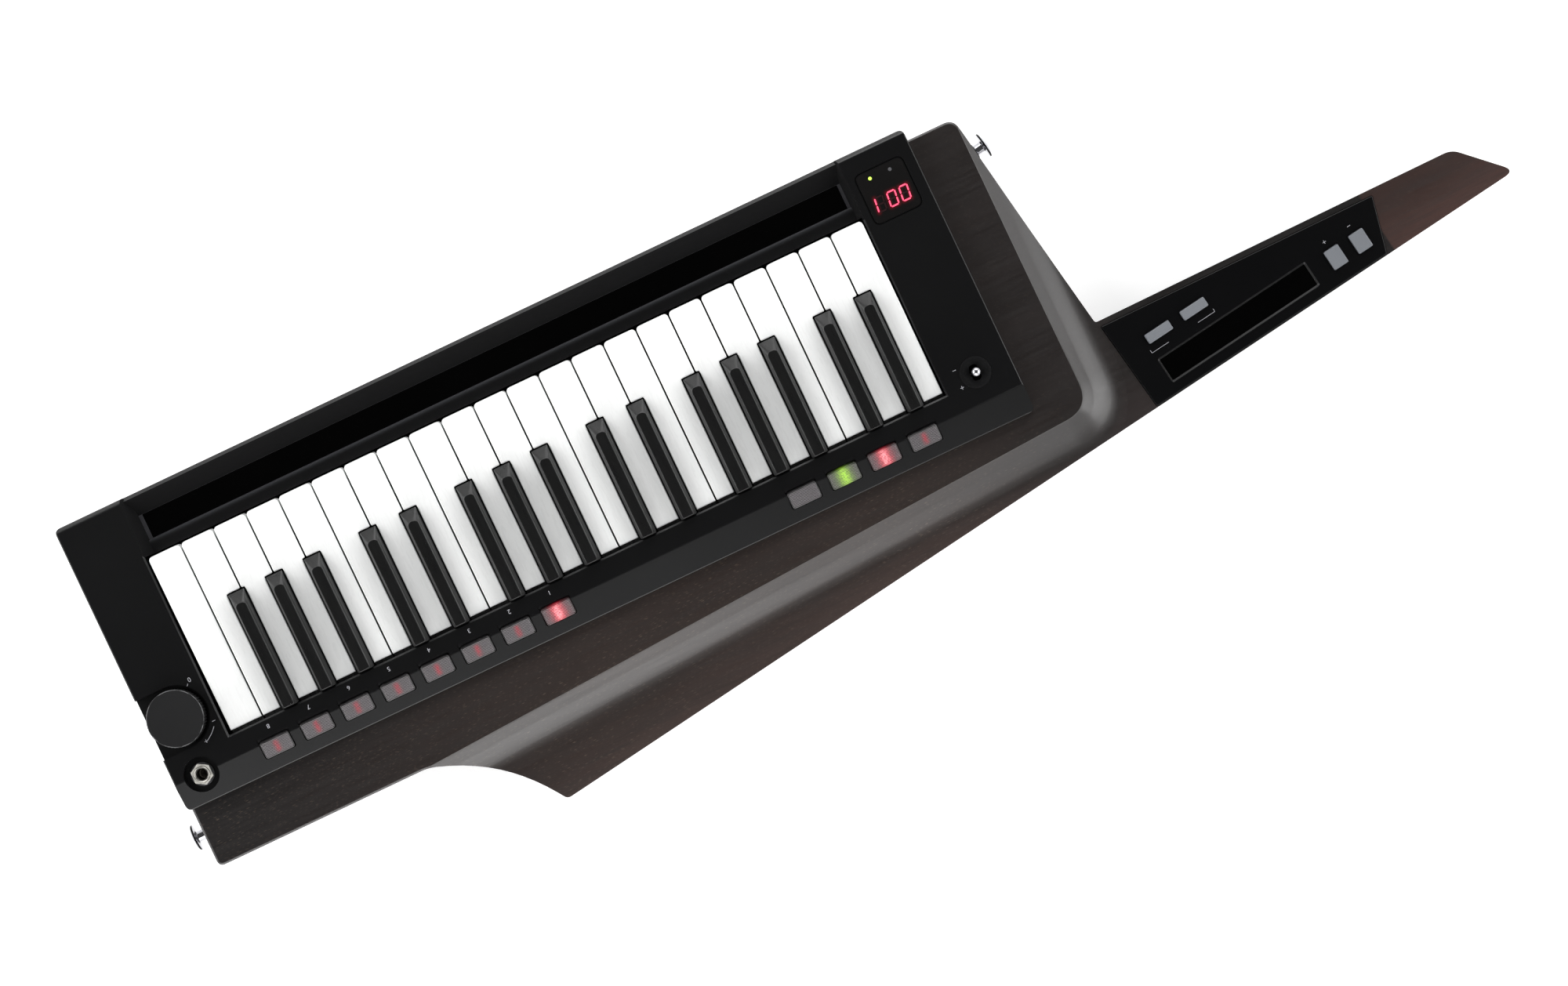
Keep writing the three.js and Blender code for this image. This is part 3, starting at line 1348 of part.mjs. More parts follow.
function neckPanel() {
  const plate = layered(panelCorners(), [
    [panelUnderside, 0],
    [panelTop - SEAT_GAP, 0],
    [panelTop, -SEAT_GAP],
  ]);
  const strip = box(
    LONG_STRIP_START,
    longStripEnd,
    LONG_STRIP_LOW,
    LONG_STRIP_LOW + LONG_STRIP_WIDTH,
    PANEL_CORNER,
  );
  const bed = layered(strip, [
    [panelTop - LONG_STRIP_DEPTH, -LONG_STRIP_BEVEL],
    [panelTop, 0],
    [panelTop + OVERRUN, 0],
  ]);
  const holes = neckButtons().map(([, x, y, length, width]) => {
    const hole = neckButtonCorners(length, width, NECK_BUTTON_CLEARANCE);
    return prism(hole, panelUnderside - OVERRUN, panelTop + OVERRUN).translate([x, y, 0]);
  });
  return cut(plate, bed, ...holes);
}

function neckButton(length, width) {
  const corners = neckButtonCorners(length, width);
  const flange = offsetCorners(corners, NECK_BUTTON_CLEARANCE + NECK_BUTTON_LIP);
  const low = -PANEL_THICKNESS - SEAT_GAP;
  const stem = post(
    0,
    0,
    NECK_BUTTON_STEM_RADIUS,
    low - NECK_BUTTON_STEM,
    low,
    SMALL_STEPS,
  );
  return join(
    buttonCap(
      corners,
      NECK_BUTTON_PROUD,
      NECK_BUTTON_EDGE,
      PANEL_THICKNESS,
      flange,
      NECK_BUTTON_FLANGE,
    ),
    stem,
  );
}

// Assembly
place("wood_body", woodBody(), stainedWood);
place("top_case", topCase(), blackCase);
place("lower_case", lowerCase(), coverPlastic);

const jack = place("output_jack", outputJack(), jackMetal);
jack.position.set(jackX, JACK_Y, 0);

const volume = place("volume_knob", knob(), knobPlastic);
volume.position.set(knobX, KNOB_Y, 0);

const lever = place("sound_lever", soundLever(), chromeMetal);
lever.position.set(leverX, LEVER_Y, caseTop - LEVER_PIVOT_DROP);

const capBody = railButton();
for (const [name, x] of buttonPlaces()) {
  const button = place(name, capBody, lampCap);
  button.position.set(...facetPlace(x));
  button.rotation.x = radians(FACET_TILT_DEG);
}

const neck = new THREE.Group();
neck.position.set(neckRootX, neckRootY, 0);
neck.rotation.z = neckTurn;
model.add(neck);
place("neck_panel", neckPanel(), blackPanel, neck);
for (const [name, x, y, length, width] of neckButtons()) {
  const button = place(name, neckButton(length, width), paleCap, neck);
  button.position.set(x, y, panelTop);
}

const keyboard = new THREE.Group();
keyboard.position.set(0, hingeY, hingeZ);
keyboard.rotation.x = keyTilt;
model.add(keyboard);
const layout = keyLayout();
layout.forEach(({ note, octave, tail, head, black }, i) => {
  const halfGap = WHITE_GAP / 2;
  const headBlack = i > 0 ? layout[i - 1].black : null;
  const keyTail = tail + halfGap;
  const keyHead = head - halfGap;
  const backTail = black === null ? keyTail : black + BLACK_CUTOUT / 2;
  const backHead = headBlack === null ? keyHead : headBlack - BLACK_CUTOUT / 2;
  const name = "white_key_" + note + octave;
  place(name, whiteKeyBody(keyTail, keyHead, backTail, backHead), whiteKey, keyboard);
  if (black !== null) {
    place("black_key_" + note + "_sharp_" + octave, blackKeyBody(black), blackKey, keyboard);
  }
});

// The origin goes to the middle of the whole object's outline, on the back.
model.updateMatrixWorld(true);
const extent = new THREE.Box3().setFromObject(model, true);
const middle = extent.getCenter(new THREE.Vector3());
model.position.set(-middle.x, -middle.y, -extent.min.z);

export default group;
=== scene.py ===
"""Keytar: the surfaces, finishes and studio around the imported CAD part.

Shapes are worked out in millimetres in the part's own coordinates: X runs along the
keyboard from the tail end of the last key gap towards the neck, Y runs from the rear
edge of the top case towards the fronts of the keys, and Z is up from the flat back.
"""

import math

import bpy
import numpy as np
from bpy.props import FloatProperty, FloatVectorProperty, IntProperty, PointerProperty
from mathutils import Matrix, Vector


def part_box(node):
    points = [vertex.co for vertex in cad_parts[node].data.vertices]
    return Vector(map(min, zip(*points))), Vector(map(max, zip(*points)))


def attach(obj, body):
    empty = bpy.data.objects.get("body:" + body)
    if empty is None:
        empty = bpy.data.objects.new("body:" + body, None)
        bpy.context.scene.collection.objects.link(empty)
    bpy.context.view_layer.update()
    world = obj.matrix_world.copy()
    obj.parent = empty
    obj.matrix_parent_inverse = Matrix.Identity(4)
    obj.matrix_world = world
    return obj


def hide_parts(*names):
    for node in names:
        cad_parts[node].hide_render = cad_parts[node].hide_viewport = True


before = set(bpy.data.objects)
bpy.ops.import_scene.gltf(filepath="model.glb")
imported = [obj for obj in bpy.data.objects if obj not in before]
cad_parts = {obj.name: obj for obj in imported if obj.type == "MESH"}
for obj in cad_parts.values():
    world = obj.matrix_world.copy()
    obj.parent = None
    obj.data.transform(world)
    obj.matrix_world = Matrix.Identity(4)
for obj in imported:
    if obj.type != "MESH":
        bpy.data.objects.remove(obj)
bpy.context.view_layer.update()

bl_info = {
    "name": "Keytar",
    "version": (1, 0, 0),
    "blender": (4, 5, 0),
    "location": "View3D > Sidebar > Keytar",
    "description": "Builds the surfaces, finishes and studio of a strap-on keyboard",
    "category": "Object",
}

MM = 0.001

# Case, in millimetres
CASE_TAIL, CASE_HEAD = -40.7, 482.2
CASE_FRONT = 173.8
CASE_TOP = 50.0
CASE_SEAT = 40.3
CASE_CORNER = 4.0
CASE_WALL = 2.5
CASE_ROOF = 2.6
FACET_DEPTH = 16.5
FACET_TILT = 17.0
OPENING_TAIL, OPENING_HEAD = -1.3, 440.7
OPENING_REAR, OPENING_FRONT = 28.9, 138.7
BUTTON_Y = 12.7
BUTTON_PITCH = 24.75
BUTTON_LENGTH, BUTTON_WIDTH = 17.8, 10.1
BUTTON_CORNER = 1.3
BUTTON_PROUD = 1.5
KNOB_X, KNOB_Y = -23.2, 50.0
KNOB_WELL, KNOB_WELL_FLOOR = 18.3, 43.3
JACK_X, JACK_Y = -24.5, 15.8
JACK_WELL, JACK_WELL_FLOOR = 10.0, 44.4
LEVER_X, LEVER_Y = 460.9, 33.6
DISPLAY = (445.6, 475.5, 130.2, 161.2)
BAND_TOP, STRIP_TOP, LIP_TOP = 41.2, 40.4, 46.8
STRIP_START, STRIP_END, RIDGE_Y = 146.3, 161.5, 171.5

# Keys, in a frame on the hinge axis with Y along the key
HINGE_Y, HINGE_Z = 16.0, 38.0
KEY_TILT = 3.0
WHITE_KEYS = 22
WHITE_PITCH = 20.0
KEYBOARD = WHITE_KEYS * WHITE_PITCH
WHITE_GAP = 0.9
WHITE_FRONT, WHITE_SHOULDER, BLACK_FRONT = 121.667, 84.867, 84.067
WHITE_TOP, WHITE_BOTTOM = 8.6, -4.5
RAISED_START, BLACK_START = 15.3, 13.6
BLACK_CUTOUT = 11.2
BLACK_SHIFT = {"c": 2.4, "d": -2.4, "f": 3.3, "g": 0.0, "a": -3.3}
NOTES = "cdefgab"

# Wooden body
WOOD_TAIL, WOOD_FRONT = -39.3, 167.2
WING_TOP, MIDDLE_TOP = 27.0, 40.0
NECK_X, NECK_Y = 545.8, -28.1
NECK_TURN = 8.2
NECK_LENGTH = 241.9
PANEL_TOP, PANEL_UNDER = 27.8, 24.5
PANEL = [(0.6, 0.9, 0.8), (155.7, 0.9, 0.8), (166.7, 32.5, 0.8), (-1.0, 55.3, 0.8)]
NECK_STRIP = (16.2, 113.6, 7.9, 21.6)
NECK_BUTTONS = {
    "filter_button": (24.3, 35.0, 16.0, 5.8),
    "pitch_button": (48.0, 35.0, 16.0, 5.8),
    "octave_up_button": (130.6, 15.0, 9.2, 11.9),
    "octave_down_button": (147.1, 15.0, 9.2, 11.9),
}
SCREWS = [(-18.0, 87.9), (-18.0, 150.0), (458.0, 62.1), (458.0, 111.9)]

case_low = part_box("top_case")[0]
SHIFT = np.array([case_low.x / MM - CASE_TAIL, case_low.y / MM, 0.0])


def srgb(*values):
    """A colour given by its three screen values from 0 to 255, as linear light."""
    v = np.array(values) / 255
    return tuple(np.where(v <= 0.04045, v / 12.92, ((v + 0.055) / 1.055) ** 2.4).tolist())


# Sizes and colours


def colour_setting(name, description, *values):
    return FloatVectorProperty(
        name=name, description=description, default=srgb(*values),
        subtype="COLOR", size=3, min=0, max=1,
    )


def length_setting(name, description, millimetres):
    return FloatProperty(
        name=name, description=description, default=millimetres * MM,
        subtype="DISTANCE", unit="LENGTH", min=0, precision=5,
    )


class KeytarSizes(bpy.types.PropertyGroup):
    """Sizes of the surfaces that the CAD part leaves open."""

    key_edge: length_setting("Key edge", "Rounding along the tops of the white keys", 0.7)
    black_edge: length_setting("Black key edge", "Rounding along the black keys", 0.5)
    rib_pitch: length_setting("Rib pitch", "Distance between the ribs of a lamp cap", 0.86)
    rib_depth: length_setting("Rib depth", "Depth of the ribs of a lamp cap", 0.2)
    flute_depth: length_setting("Flute depth", "Depth of the flutes round the knob", 0.5)
    flutes: IntProperty(
        name="Flutes", description="Number of flutes round the knob", default=56, min=8, max=120
    )
    print_height: length_setting("Print height", "Height of the printed numbers", 2.5)
    thread_pitch: length_setting("Thread pitch", "Pitch of the thread on the jack", 0.75)


class KeytarColours(bpy.types.PropertyGroup):
    """Colours of the finishes and the strength of the lamps in the buttons."""

    wood: colour_setting("Stained wood", "Dark brown stain of the body", 36, 29, 27)
    wood_tip: colour_setting("Neck tip", "Redder stain of the neck's tip", 45, 30, 26)
    wood_pore: colour_setting("Wood pores", "Pale strokes of the grain", 104, 90, 78)
    case: colour_setting("Case plastic", "Moulded black plastic of the case", 5, 5, 6)
    panel: colour_setting("Neck panel", "Black plastic of the neck panel", 3, 3, 4)
    cover: colour_setting("Back cover", "Grained plastic of the back cover", 34, 34, 37)
    white_key: colour_setting("White keys", "Moulded white plastic", 247, 248, 247)
    black_key: colour_setting("Black keys", "Black plastic", 16, 16, 16)
    knob: colour_setting("Knob", "Soft black plastic of the volume knob", 19, 19, 20)
    pale_cap: colour_setting("Pale caps", "Lilac grey caps on the neck", 116, 119, 124)
    lamp_cap: colour_setting("Lamp caps", "Smoky caps over the lamps", 92, 88, 90)
    red_lamp: colour_setting("Red lamp", "Light of the red lamps", 255, 40, 70)
    green_lamp: colour_setting("Green lamp", "Light of the green lamp", 190, 255, 20)
    ink: colour_setting("Print", "Pale ink of the printed marks", 176, 176, 182)
    film: colour_setting("Touch film", "Black film of the touch strips", 1, 1, 1)
    lamp_strength: FloatProperty(
        name="Lamp strength", description="How brightly a lit button glows", default=1.6, min=0
    )


# Outlines and skins
# A skin is a pair: an array of points in millimetres, and a list of faces over it.


def with_reach(corners):
    return np.array([tuple(c) + (0.0,) * (3 - len(c)) for c in corners], float)


def outline(corners, steps=6):
    """Points round (x, y, reach) corners, anticlockwise. Each corner is a parabola that
    leaves one side and joins the next at its reach; a corner without one is sharp."""
    data = with_reach(corners)
    at, reach = data[:, :2], data[:, 2:]
    back = np.roll(at, 1, 0) - at
    ahead = np.roll(at, -1, 0) - at
    start = at + back / np.linalg.norm(back, axis=1)[:, None] * reach
    end = at + ahead / np.linalg.norm(ahead, axis=1)[:, None] * reach
    t = np.linspace(0, 1, steps + 1)[None, :, None]
    curve = (1 - t) ** 2 * start[:, None] + 2 * t * (1 - t) * at[:, None] + t**2 * end[:, None]
    keep = np.ones(curve.shape[:2], bool)
    keep[reach[:, 0] <= 0, 1:] = False
    return curve[keep]


def offset(corners, distance):
    """The corners of the same outline with every side moved out by a distance. A corner
    slides along both its sides by the distance times the tangent of half its turn."""
    data = with_reach(corners)
    at = data[:, :2]
    arrive = at - np.roll(at, 1, 0)
    arrive /= np.linalg.norm(arrive, axis=1)[:, None]
    leave = np.roll(arrive, -1, 0)
    cross = arrive[:, 0] * leave[:, 1] - arrive[:, 1] * leave[:, 0]
    turn = np.arctan2(cross, (arrive * leave).sum(1))
    slide = distance * np.tan(turn / 2)
    out = np.stack([arrive[:, 1], -arrive[:, 0]], 1)
    moved = at + out * distance + arrive * slide[:, None]
    reach = np.where(data[:, 2] > 0, np.maximum(data[:, 2] + slide, data[:, 2] * 0.1), 0)
    return np.column_stack([moved, reach])


def rect(x0, x1, y0, y1, corner=0.0):
    return [(x0, y0, corner), (x1, y0, corner), (x1, y1, corner), (x0, y1, corner)]


def at_height(flat, z):
    return np.column_stack([flat, np.full(len(flat), z)])


def through(points, steps):
    """A Catmull-Rom curve through points, with so many steps between two of them."""
    p = np.array(points, float)
    p = np.vstack([2 * p[0] - p[1], p, 2 * p[-1] - p[-2]])
    a, b, c, d = p[:-3, None], p[1:-2, None], p[2:-1, None], p[3:, None]
    t = np.linspace(0, 1, steps, endpoint=False)[None, :, None]
    curve = 0.5 * (
        2 * b + (c - a) * t + (2 * a - 5 * b + 4 * c - d) * t**2 + (3 * b - a - 3 * c + d) * t**3
    )
    return np.vstack([curve.reshape(-1, p.shape[1]), p[-2]])


def loft(rings, looped=False):
    """A closed skin over rings of equally many points: squares between neighbouring
    rings, and one flat face at each end, or squares from the last ring to the first."""
    rings = np.asarray(rings, float)
    rows, count = rings.shape[:2]
    low = np.arange(rows if looped else rows - 1)[:, None] * count
    high = (low + count) % (rows * count)
    here = np.arange(count)[None, :]
    there = (here + 1) % count
    squares = np.stack([low + here, low + there, high + there, high + here], -1)
    faces = squares.reshape(-1, 4).tolist()
    if not looped:
        faces.append(list(range(count))[::-1])
        faces.append(list(range((rows - 1) * count, rows * count)))
    return rings.reshape(-1, 3), faces


def layered(corners, levels, steps=6):
    """A loft of one outline through (height, distance out) levels, lowest first."""
    return loft([at_height(outline(offset(corners, out), steps), z) for z, out in levels])


def prism(corners, z0, z1, steps=6):
    return layered(corners, [(z0, 0), (z1, 0)], steps)


def block(x0, x1, y0, y1, z0, z1, corner=0.0, steps=6):
    return prism(rect(x0, x1, y0, y1, corner), z0, z1, steps)


def rounded_top(z, radius, steps=4):
    """Levels of a quarter circle that ends a wall at its upper edge."""
    angle = np.linspace(0, math.pi / 2, steps + 1)
    return list(zip(z - radius * (1 - np.sin(angle)), -radius * (1 - np.cos(angle))))


def rounded_bottom(z, radius, steps=4):
    return [(2 * z - height, out) for height, out in rounded_top(z, radius, steps)][::-1]


def bar_x(profile, x0, x1, steps=6):
    """A (y, z) profile carried along X."""
    points, faces = prism(profile, x0, x1, steps)
    return points[:, [2, 0, 1]], faces


def bar_y(profile, y0, y1):
    """An (x, z) profile, anticlockwise in those two axes, carried along Y."""
    points, faces = prism(profile, -y1, -y0)
    return np.column_stack([points[:, 0], -points[:, 2], points[:, 1]]), faces


def turned(profile, steps=64, radial=None, looped=False):
    """A body turned about Z from (radius, height) points, lowest first. radial, where it
    is given, is a row of factors round the circle that scales every radius."""
    angle = np.linspace(0, 2 * math.pi, steps, endpoint=False)
    profile = np.array(profile, float)
    radius = profile[:, :1] * (np.ones(steps) if radial is None else radial)
    height = np.broadcast_to(profile[:, 1:2], radius.shape)
    return loft(np.stack([radius * np.cos(angle), radius * np.sin(angle), height], -1), looped)


def post(x, y, radius, z0, z1, steps=48):
    profile = [(radius, z0), (radius, z1)]
    return moved(turned(profile, steps), (x, y, 0))


def relief(grid, floor):
    """A closed solid under a grid of points, rows towards +Y and columns towards +X: the
    grid, a wall straight down from its border to a height, and one face under it."""
    rows, columns = grid.shape[:2]
    index = np.arange(rows * columns).reshape(rows, columns)
    tops = np.stack([index[:-1, :-1], index[:-1, 1:], index[1:, 1:], index[1:, :-1]], -1)
    border = np.concatenate(
        [index[0, :], index[1:, -1], index[-1, -2::-1], index[-2:0:-1, 0]]
    )
    points = grid.reshape(-1, 3)
    base = points[border].copy()
    base[:, 2] = floor
    low = np.arange(len(border)) + len(points)
    walls = np.stack([low, np.roll(low, -1), np.roll(border, -1), border], -1)
    faces = tops.reshape(-1, 4).tolist() + walls.tolist() + [low[::-1].tolist()]
    return np.vstack([points, base]), faces


def rounded_grid(length, width, corner, rows, columns):
    """A grid that fills a rectangle with round corners, about the origin: each row is as
    long as the rectangle is at its height."""
    y = np.linspace(-width / 2, width / 2, rows)[:, None]
    into = np.clip(np.abs(y) - (width / 2 - corner), 0, corner)
    half = length / 2 - corner + np.sqrt(np.maximum(corner**2 - into**2, 0))
    x = half * np.linspace(-1, 1, columns)[None, :]
    return x, np.broadcast_to(y, x.shape), half


def both(*skins):
    """Several skins as one, without cutting them."""
    points, faces, start = [], [], 0
    for skin_points, skin_faces in skins:
        points.append(skin_points)
        faces += [[start + i for i in face] for face in skin_faces]
        start += len(skin_points)
    return np.vstack(points), faces


def moved(skin, shift):
    return skin[0] + np.array(shift, float), skin[1]


def rotated(skin, axis, degrees):
    """The skin turned about one of the axes, given as 0, 1 or 2."""
    a, b = (axis + 1) % 3, (axis + 2) % 3
    turn = math.radians(degrees)
    points = skin[0].copy()
    points[:, a] = skin[0][:, a] * math.cos(turn) - skin[0][:, b] * math.sin(turn)
    points[:, b] = skin[0][:, a] * math.sin(turn) + skin[0][:, b] * math.cos(turn)
    return points, skin[1]


def on_neck(skin):
    return moved(rotated(skin, 2, NECK_TURN), (NECK_X, NECK_Y, 0))


def on_hinge(skin):
    return moved(rotated(skin, 0, KEY_TILT), (0, HINGE_Y, HINGE_Z))


def facet_height(y):
    return CASE_TOP - (FACET_DEPTH - y) * math.tan(math.radians(FACET_TILT))


def on_facet(skin, x):
    return moved(rotated(skin, 0, FACET_TILT), (x, BUTTON_Y, facet_height(BUTTON_Y)))


# Objects


def mesh_of(name, skin):
    mesh = bpy.data.meshes.new(name)
    mesh.from_pydata((skin[0] + SHIFT) * MM, [], skin[1])
    mesh.validate()
    return mesh


def added(name, data):
    made = bpy.data.objects.new(name, data)
    bpy.context.scene.collection.objects.link(made)
    return made


def read(items, name, width=1, kind=float):
    """A property of every item as one array, with a row for each where it is wide."""
    values = np.empty(len(items) * width, kind)
    items.foreach_get(name, values)
    return values.reshape(-1, width) if width > 1 else values


def evaluated_mesh(made):
    graph = bpy.context.evaluated_depsgraph_get()
    return bpy.data.meshes.new_from_object(made.evaluated_get(graph))


def carved(base, *steps):
    """The base after each (operation, skin, …) step, by the exact manifold solver."""
    made = [added("work", mesh_of("work", base))]
    for operation, *skins in steps:
        for skin in skins:
            made.append(added("tool", mesh_of("tool", skin)))
            cut = made[0].modifiers.new(operation, "BOOLEAN")
            cut.operation, cut.solver, cut.object = operation, "MANIFOLD", made[-1]
    result = evaluated_mesh(made[0])
    points = read(result.vertices, "co", 3)
    corners = read(result.loops, "vertex_index", kind=int)
    starts = read(result.polygons, "loop_start", kind=int)
    if len(points) == 0:
        raise RuntimeError("a cut left nothing of its piece")
    for item in made:
        data = item.data
        bpy.data.objects.remove(item)
        bpy.data.meshes.remove(data)
    bpy.data.meshes.remove(result)
    faces = [part.tolist() for part in np.split(corners, starts[1:])]
    return points / MM - SHIFT, faces


def piece(name, skin, look, slot, sharp=32, body="instrument", stands_for="",
          weigh=True, flat=False, **marks):
    """Makes a skin an object that rides on a body, smooth up to an angle between faces.
    A flat piece first has the level parts of its cut faces joined. Each mark is an
    attribute that the finish reads."""
    mesh = mesh_of(name, skin)
    if not mesh.polygons:
        raise RuntimeError(name + " has no faces")
    mesh.materials.append(finish(look))
    mesh.shade_smooth()
    mesh.set_sharp_from_angle(angle=math.radians(sharp))
    for mark, values in marks.items():
        layer = mesh.attributes.new(mark, "FLOAT", "POINT")
        layer.data.foreach_set("value", values.astype(np.float32))
    made = added(name, mesh)
    if flat:
        joined = made.modifiers.new("flat faces", "DECIMATE")
        joined.decimate_type = "DISSOLVE"
        joined.angle_limit = math.radians(0.5)
        joined.delimit = {"MATERIAL", "SHARP"}
    if weigh:
        weights = made.modifiers.new("shading", "WEIGHTED_NORMAL")
        weights.keep_sharp = True
        weights.weight = 80
    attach(made, body)
    if stands_for:
        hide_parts(stands_for)
    return made


# Finishes

FINISHES = {}


class Finish:
    """A procedural material, built node by node round one Principled shader."""

    def __init__(self, name, **settings):
        self.material = FINISHES[name] = bpy.data.materials.new(name + "_finish")
        self.material.use_nodes = True
        self.tree = self.material.node_tree
        self.shader = self.tree.nodes["Principled BSDF"]
        for socket, value in settings.items():
            self.shader.inputs[socket.replace("_", " ")].default_value = value

    def node(self, kind, values=None, output=0, **settings):
        """Adds a node, links or sets its inputs, and gives one of its outputs."""
        made = self.tree.nodes.new("ShaderNode" + kind)
        for setting, value in settings.items():
            setattr(made, setting, value)
        for socket, value in (values or {}).items():
            if isinstance(value, bpy.types.NodeSocket):
                self.tree.links.new(value, made.inputs[socket])
            else:
                made.inputs[socket].default_value = value
        return made.outputs[output]

    def feed(self, **outputs):
        for socket, output in outputs.items():
            self.tree.links.new(output, self.shader.inputs[socket.replace("_", " ")])

    def place(self, scale=(1, 1, 1), turn=0.0):
        values = {"Vector": self.node("TexCoord", output="Object"), "Scale": scale}
        return self.node("Mapping", {**values, "Rotation": (0, 0, math.radians(turn))})

    def axis(self, name, turn=0.0):
        return self.node("SeparateXYZ", {"Vector": self.place(turn=turn)}, name)

    def mark(self, name):
        return self.node("Attribute", output="Fac", attribute_name=name)

    def noise(self, scale, detail=3.0, stretch=(1, 1, 1), turn=0.0, roughness=0.5):
        values = {"Vector": self.place(stretch, turn), "Scale": scale}
        return self.node("TexNoise", {**values, "Detail": detail, "Roughness": roughness})

    def spread(self, value, low, high, start=0.0, end=1.0):
        """A value carried from start…end to low…high, and held at the ends."""
        values = {"Value": value, "From Min": start, "From Max": end}
        return self.node("MapRange", {**values, "To Min": low, "To Max": high})

    def clouds(self, *noise):
        return self.spread(self.noise(*noise), 0, 1, 0.3, 0.7)

    def mix(self, share, first, second, how="MIX"):
        values = {"Fac": share, "Color1": first, "Color2": second}
        return self.node("MixRGB", values, blend_type=how)

    def tones(self, share, colour, low, high):
        """From a darker to a lighter tone of a colour."""
        return self.mix(share, tinted(colour, low), tinted(colour, high))

    def shaded(self, tone, *factors):
        return self.mix(1.0, tone, (*factors, 1), "MULTIPLY")

    def over(self, share, colour):
        """Lays a colour over the base colour that is there already."""
        plain = self.shader.inputs["Base Color"].links[0].from_socket
        self.feed(Base_Color=self.mix(share, plain, colour))

    def sum(self, how, first, second):
        return self.node("Math", {0: first, 1: second}, operation=how)

    def times(self, first, second):
        return self.sum("MULTIPLY", first, second)

    def pores(self, scale, width, turn):
        """Short strokes along X: hearts of cells that are stretched by the width share."""
        where = self.place((scale, scale / width, scale / width), turn)
        cells = {"Vector": where, "Scale": 1.0, "Randomness": 1.0}
        heart = self.spread(self.node("TexVoronoi", cells, "Distance"), 1, 0, 0.12, 0.3)
        tint = {"Color": self.node("TexVoronoi", cells, "Color")}
        chance = self.node("SeparateColor", tint, "Red")
        return self.times(heart, self.spread(chance, 0, 1, 0.62, 0.8))

    def bump(self, height, distance, strength):
        values = {"Height": height, "Distance": distance * MM, "Strength": strength}
        return self.node("Bump", values)


def tinted(colour, factor=1.0):
    return tuple(min(max(c * factor, 0.0), 1.0) for c in colour) + (1.0,)


def moulded(name, colour, roughness, grain=900, depth=0.02, vary=0.1, **settings):
    """Moulded plastic: a broad drift of tone, a fine spark grain in bump and roughness,
    and faint handling marks."""
    f = Finish(name, **settings)
    fine = f.noise(grain, 2)
    marks = f.noise(9, 5, (1, 1.6, 1), 20)
    marks = f.spread(marks, roughness - 0.012, roughness + 0.012, 0.35, 0.7)
    f.feed(
        Base_Color=f.tones(f.clouds(14, 4), colour, 1 - vary, 1 + vary),
        Roughness=f.sum("ADD", f.spread(fine, -0.02, 0.02), marks),
        Normal=f.bump(fine, depth, 0.7),
    )
    return f


def case_finish(colours):
    """Moulded plastic, with a painted highlight: paler on the band in front of the keys where it
    nears the film.
    """
    f = moulded("black_case", colours.case, 0.32, 1400, 0.006)
    start, end = (SHIFT[1] + 143.2) * MM, (SHIFT[1] + 146.1) * MM
    # painted highlight along the band's edge where it steps down to the film
    near = f.sum("POWER", f.spread(f.axis("Y"), 0, 1, start, end), 3.0)
    low = f.spread(f.axis("Z"), 1, 0, 0.0413, 0.0416)
    f.over(f.times(near, low), tinted(srgb(52, 52, 55)))


def knob_finish(colours):
    """Soft plastic with a painted highlight: a broken light line where the rim mark says."""
    f = moulded("knob_plastic", colours.knob, 0.42, 1300, 0.012)
    # painted highlight along the knob's top edge, broken up by noise
    broken_highlight = f.spread(f.noise(170, 3), 0, 0.8, 0.42, 0.56)
    f.over(f.times(f.mark("rim"), broken_highlight), tinted(srgb(128, 128, 130)))


def wood_finish(colours):
    """Stained open-pored wood: long streaks of tone along the body, a finer ripple across
    them, a painted highlight that makes the wing paler towards its slanted rear edge, a
    redder neck tip, and short pale pores, which are the hearts of stretched cells, in the
    share of the cells whose own random value is high."""
    f = Finish("stained_wood", Coat_Weight=0.6, Coat_Roughness=0.24)
    share = f.clouds(9, 5, (1, 7, 7), -2, 0.6)
    ripple = f.noise(90, 4, (0.35, 6, 6), -3)
    tone = f.tones(share, colours.wood, 0.8, 1.18)
    across, middle = f.axis("X"), SHIFT[0] * MM
    lift = f.spread(across, 0, 0.9, middle - 0.02, middle + 0.2)
    fall = f.spread(across, 1, 0.2, middle + 0.4, middle + 0.5)
    dark, pale = f.shaded(tone, 0.42, 0.46, 0.5), f.shaded(tone, 1.45, 1.38, 1.3)
    tone = f.mix(f.times(lift, fall), dark, pale)

    along, aside = neck_frame()
    tip_x, tip = f.axis("X", -NECK_TURN), (along + 160) * MM
    beside = f.times(f.spread(tip_x, 0, 1, tip - 0.157, tip - 0.152), 0.8)
    tone = f.mix(beside, tone, tinted(colours.wood, 0.1))
    red = f.tones(share, colours.wood_tip, 0.8, 1.2)
    tone = f.mix(f.spread(tip_x, 0, 1, tip, tip + 0.001), tone, red)
    # painted highlight: the wing's top paler within 25 mm of its slanted rear edge
    rear = f.spread(f.axis("Y", -NECK_TURN), 1, 0, aside * MM, (aside + 25) * MM)
    rear = f.times(rear, f.spread(f.axis("Z"), 1, 0, 0.0272, 0.0276))
    tone = f.mix(rear, tone, f.shaded(tone, 1.9, 1.9, 1.95))
    tone = f.mix(f.spread(ripple, 0, 0.4, 0.45, 0.75), tone, tinted(colours.wood, 0.5))

    patches = f.spread(f.noise(16, 3, (0.5, 1, 1)), 0.4, 1, 0.38, 0.62)
    pores = f.times(f.pores(240, 0.12, -5), patches)
    pores = f.times(f.sum("MAXIMUM", pores, f.times(f.pores(310, 0.1, 3), 0.5)), fall)
    f.feed(
        Base_Color=f.mix(f.times(pores, 0.7), tone, tinted(colours.wood_pore)),
        Roughness=f.spread(ripple, 0.36, 0.46, 0.3, 0.7),
        Normal=f.bump(f.sum("SUBTRACT", f.times(ripple, 0.3), pores), 0.02, 0.5),
    )


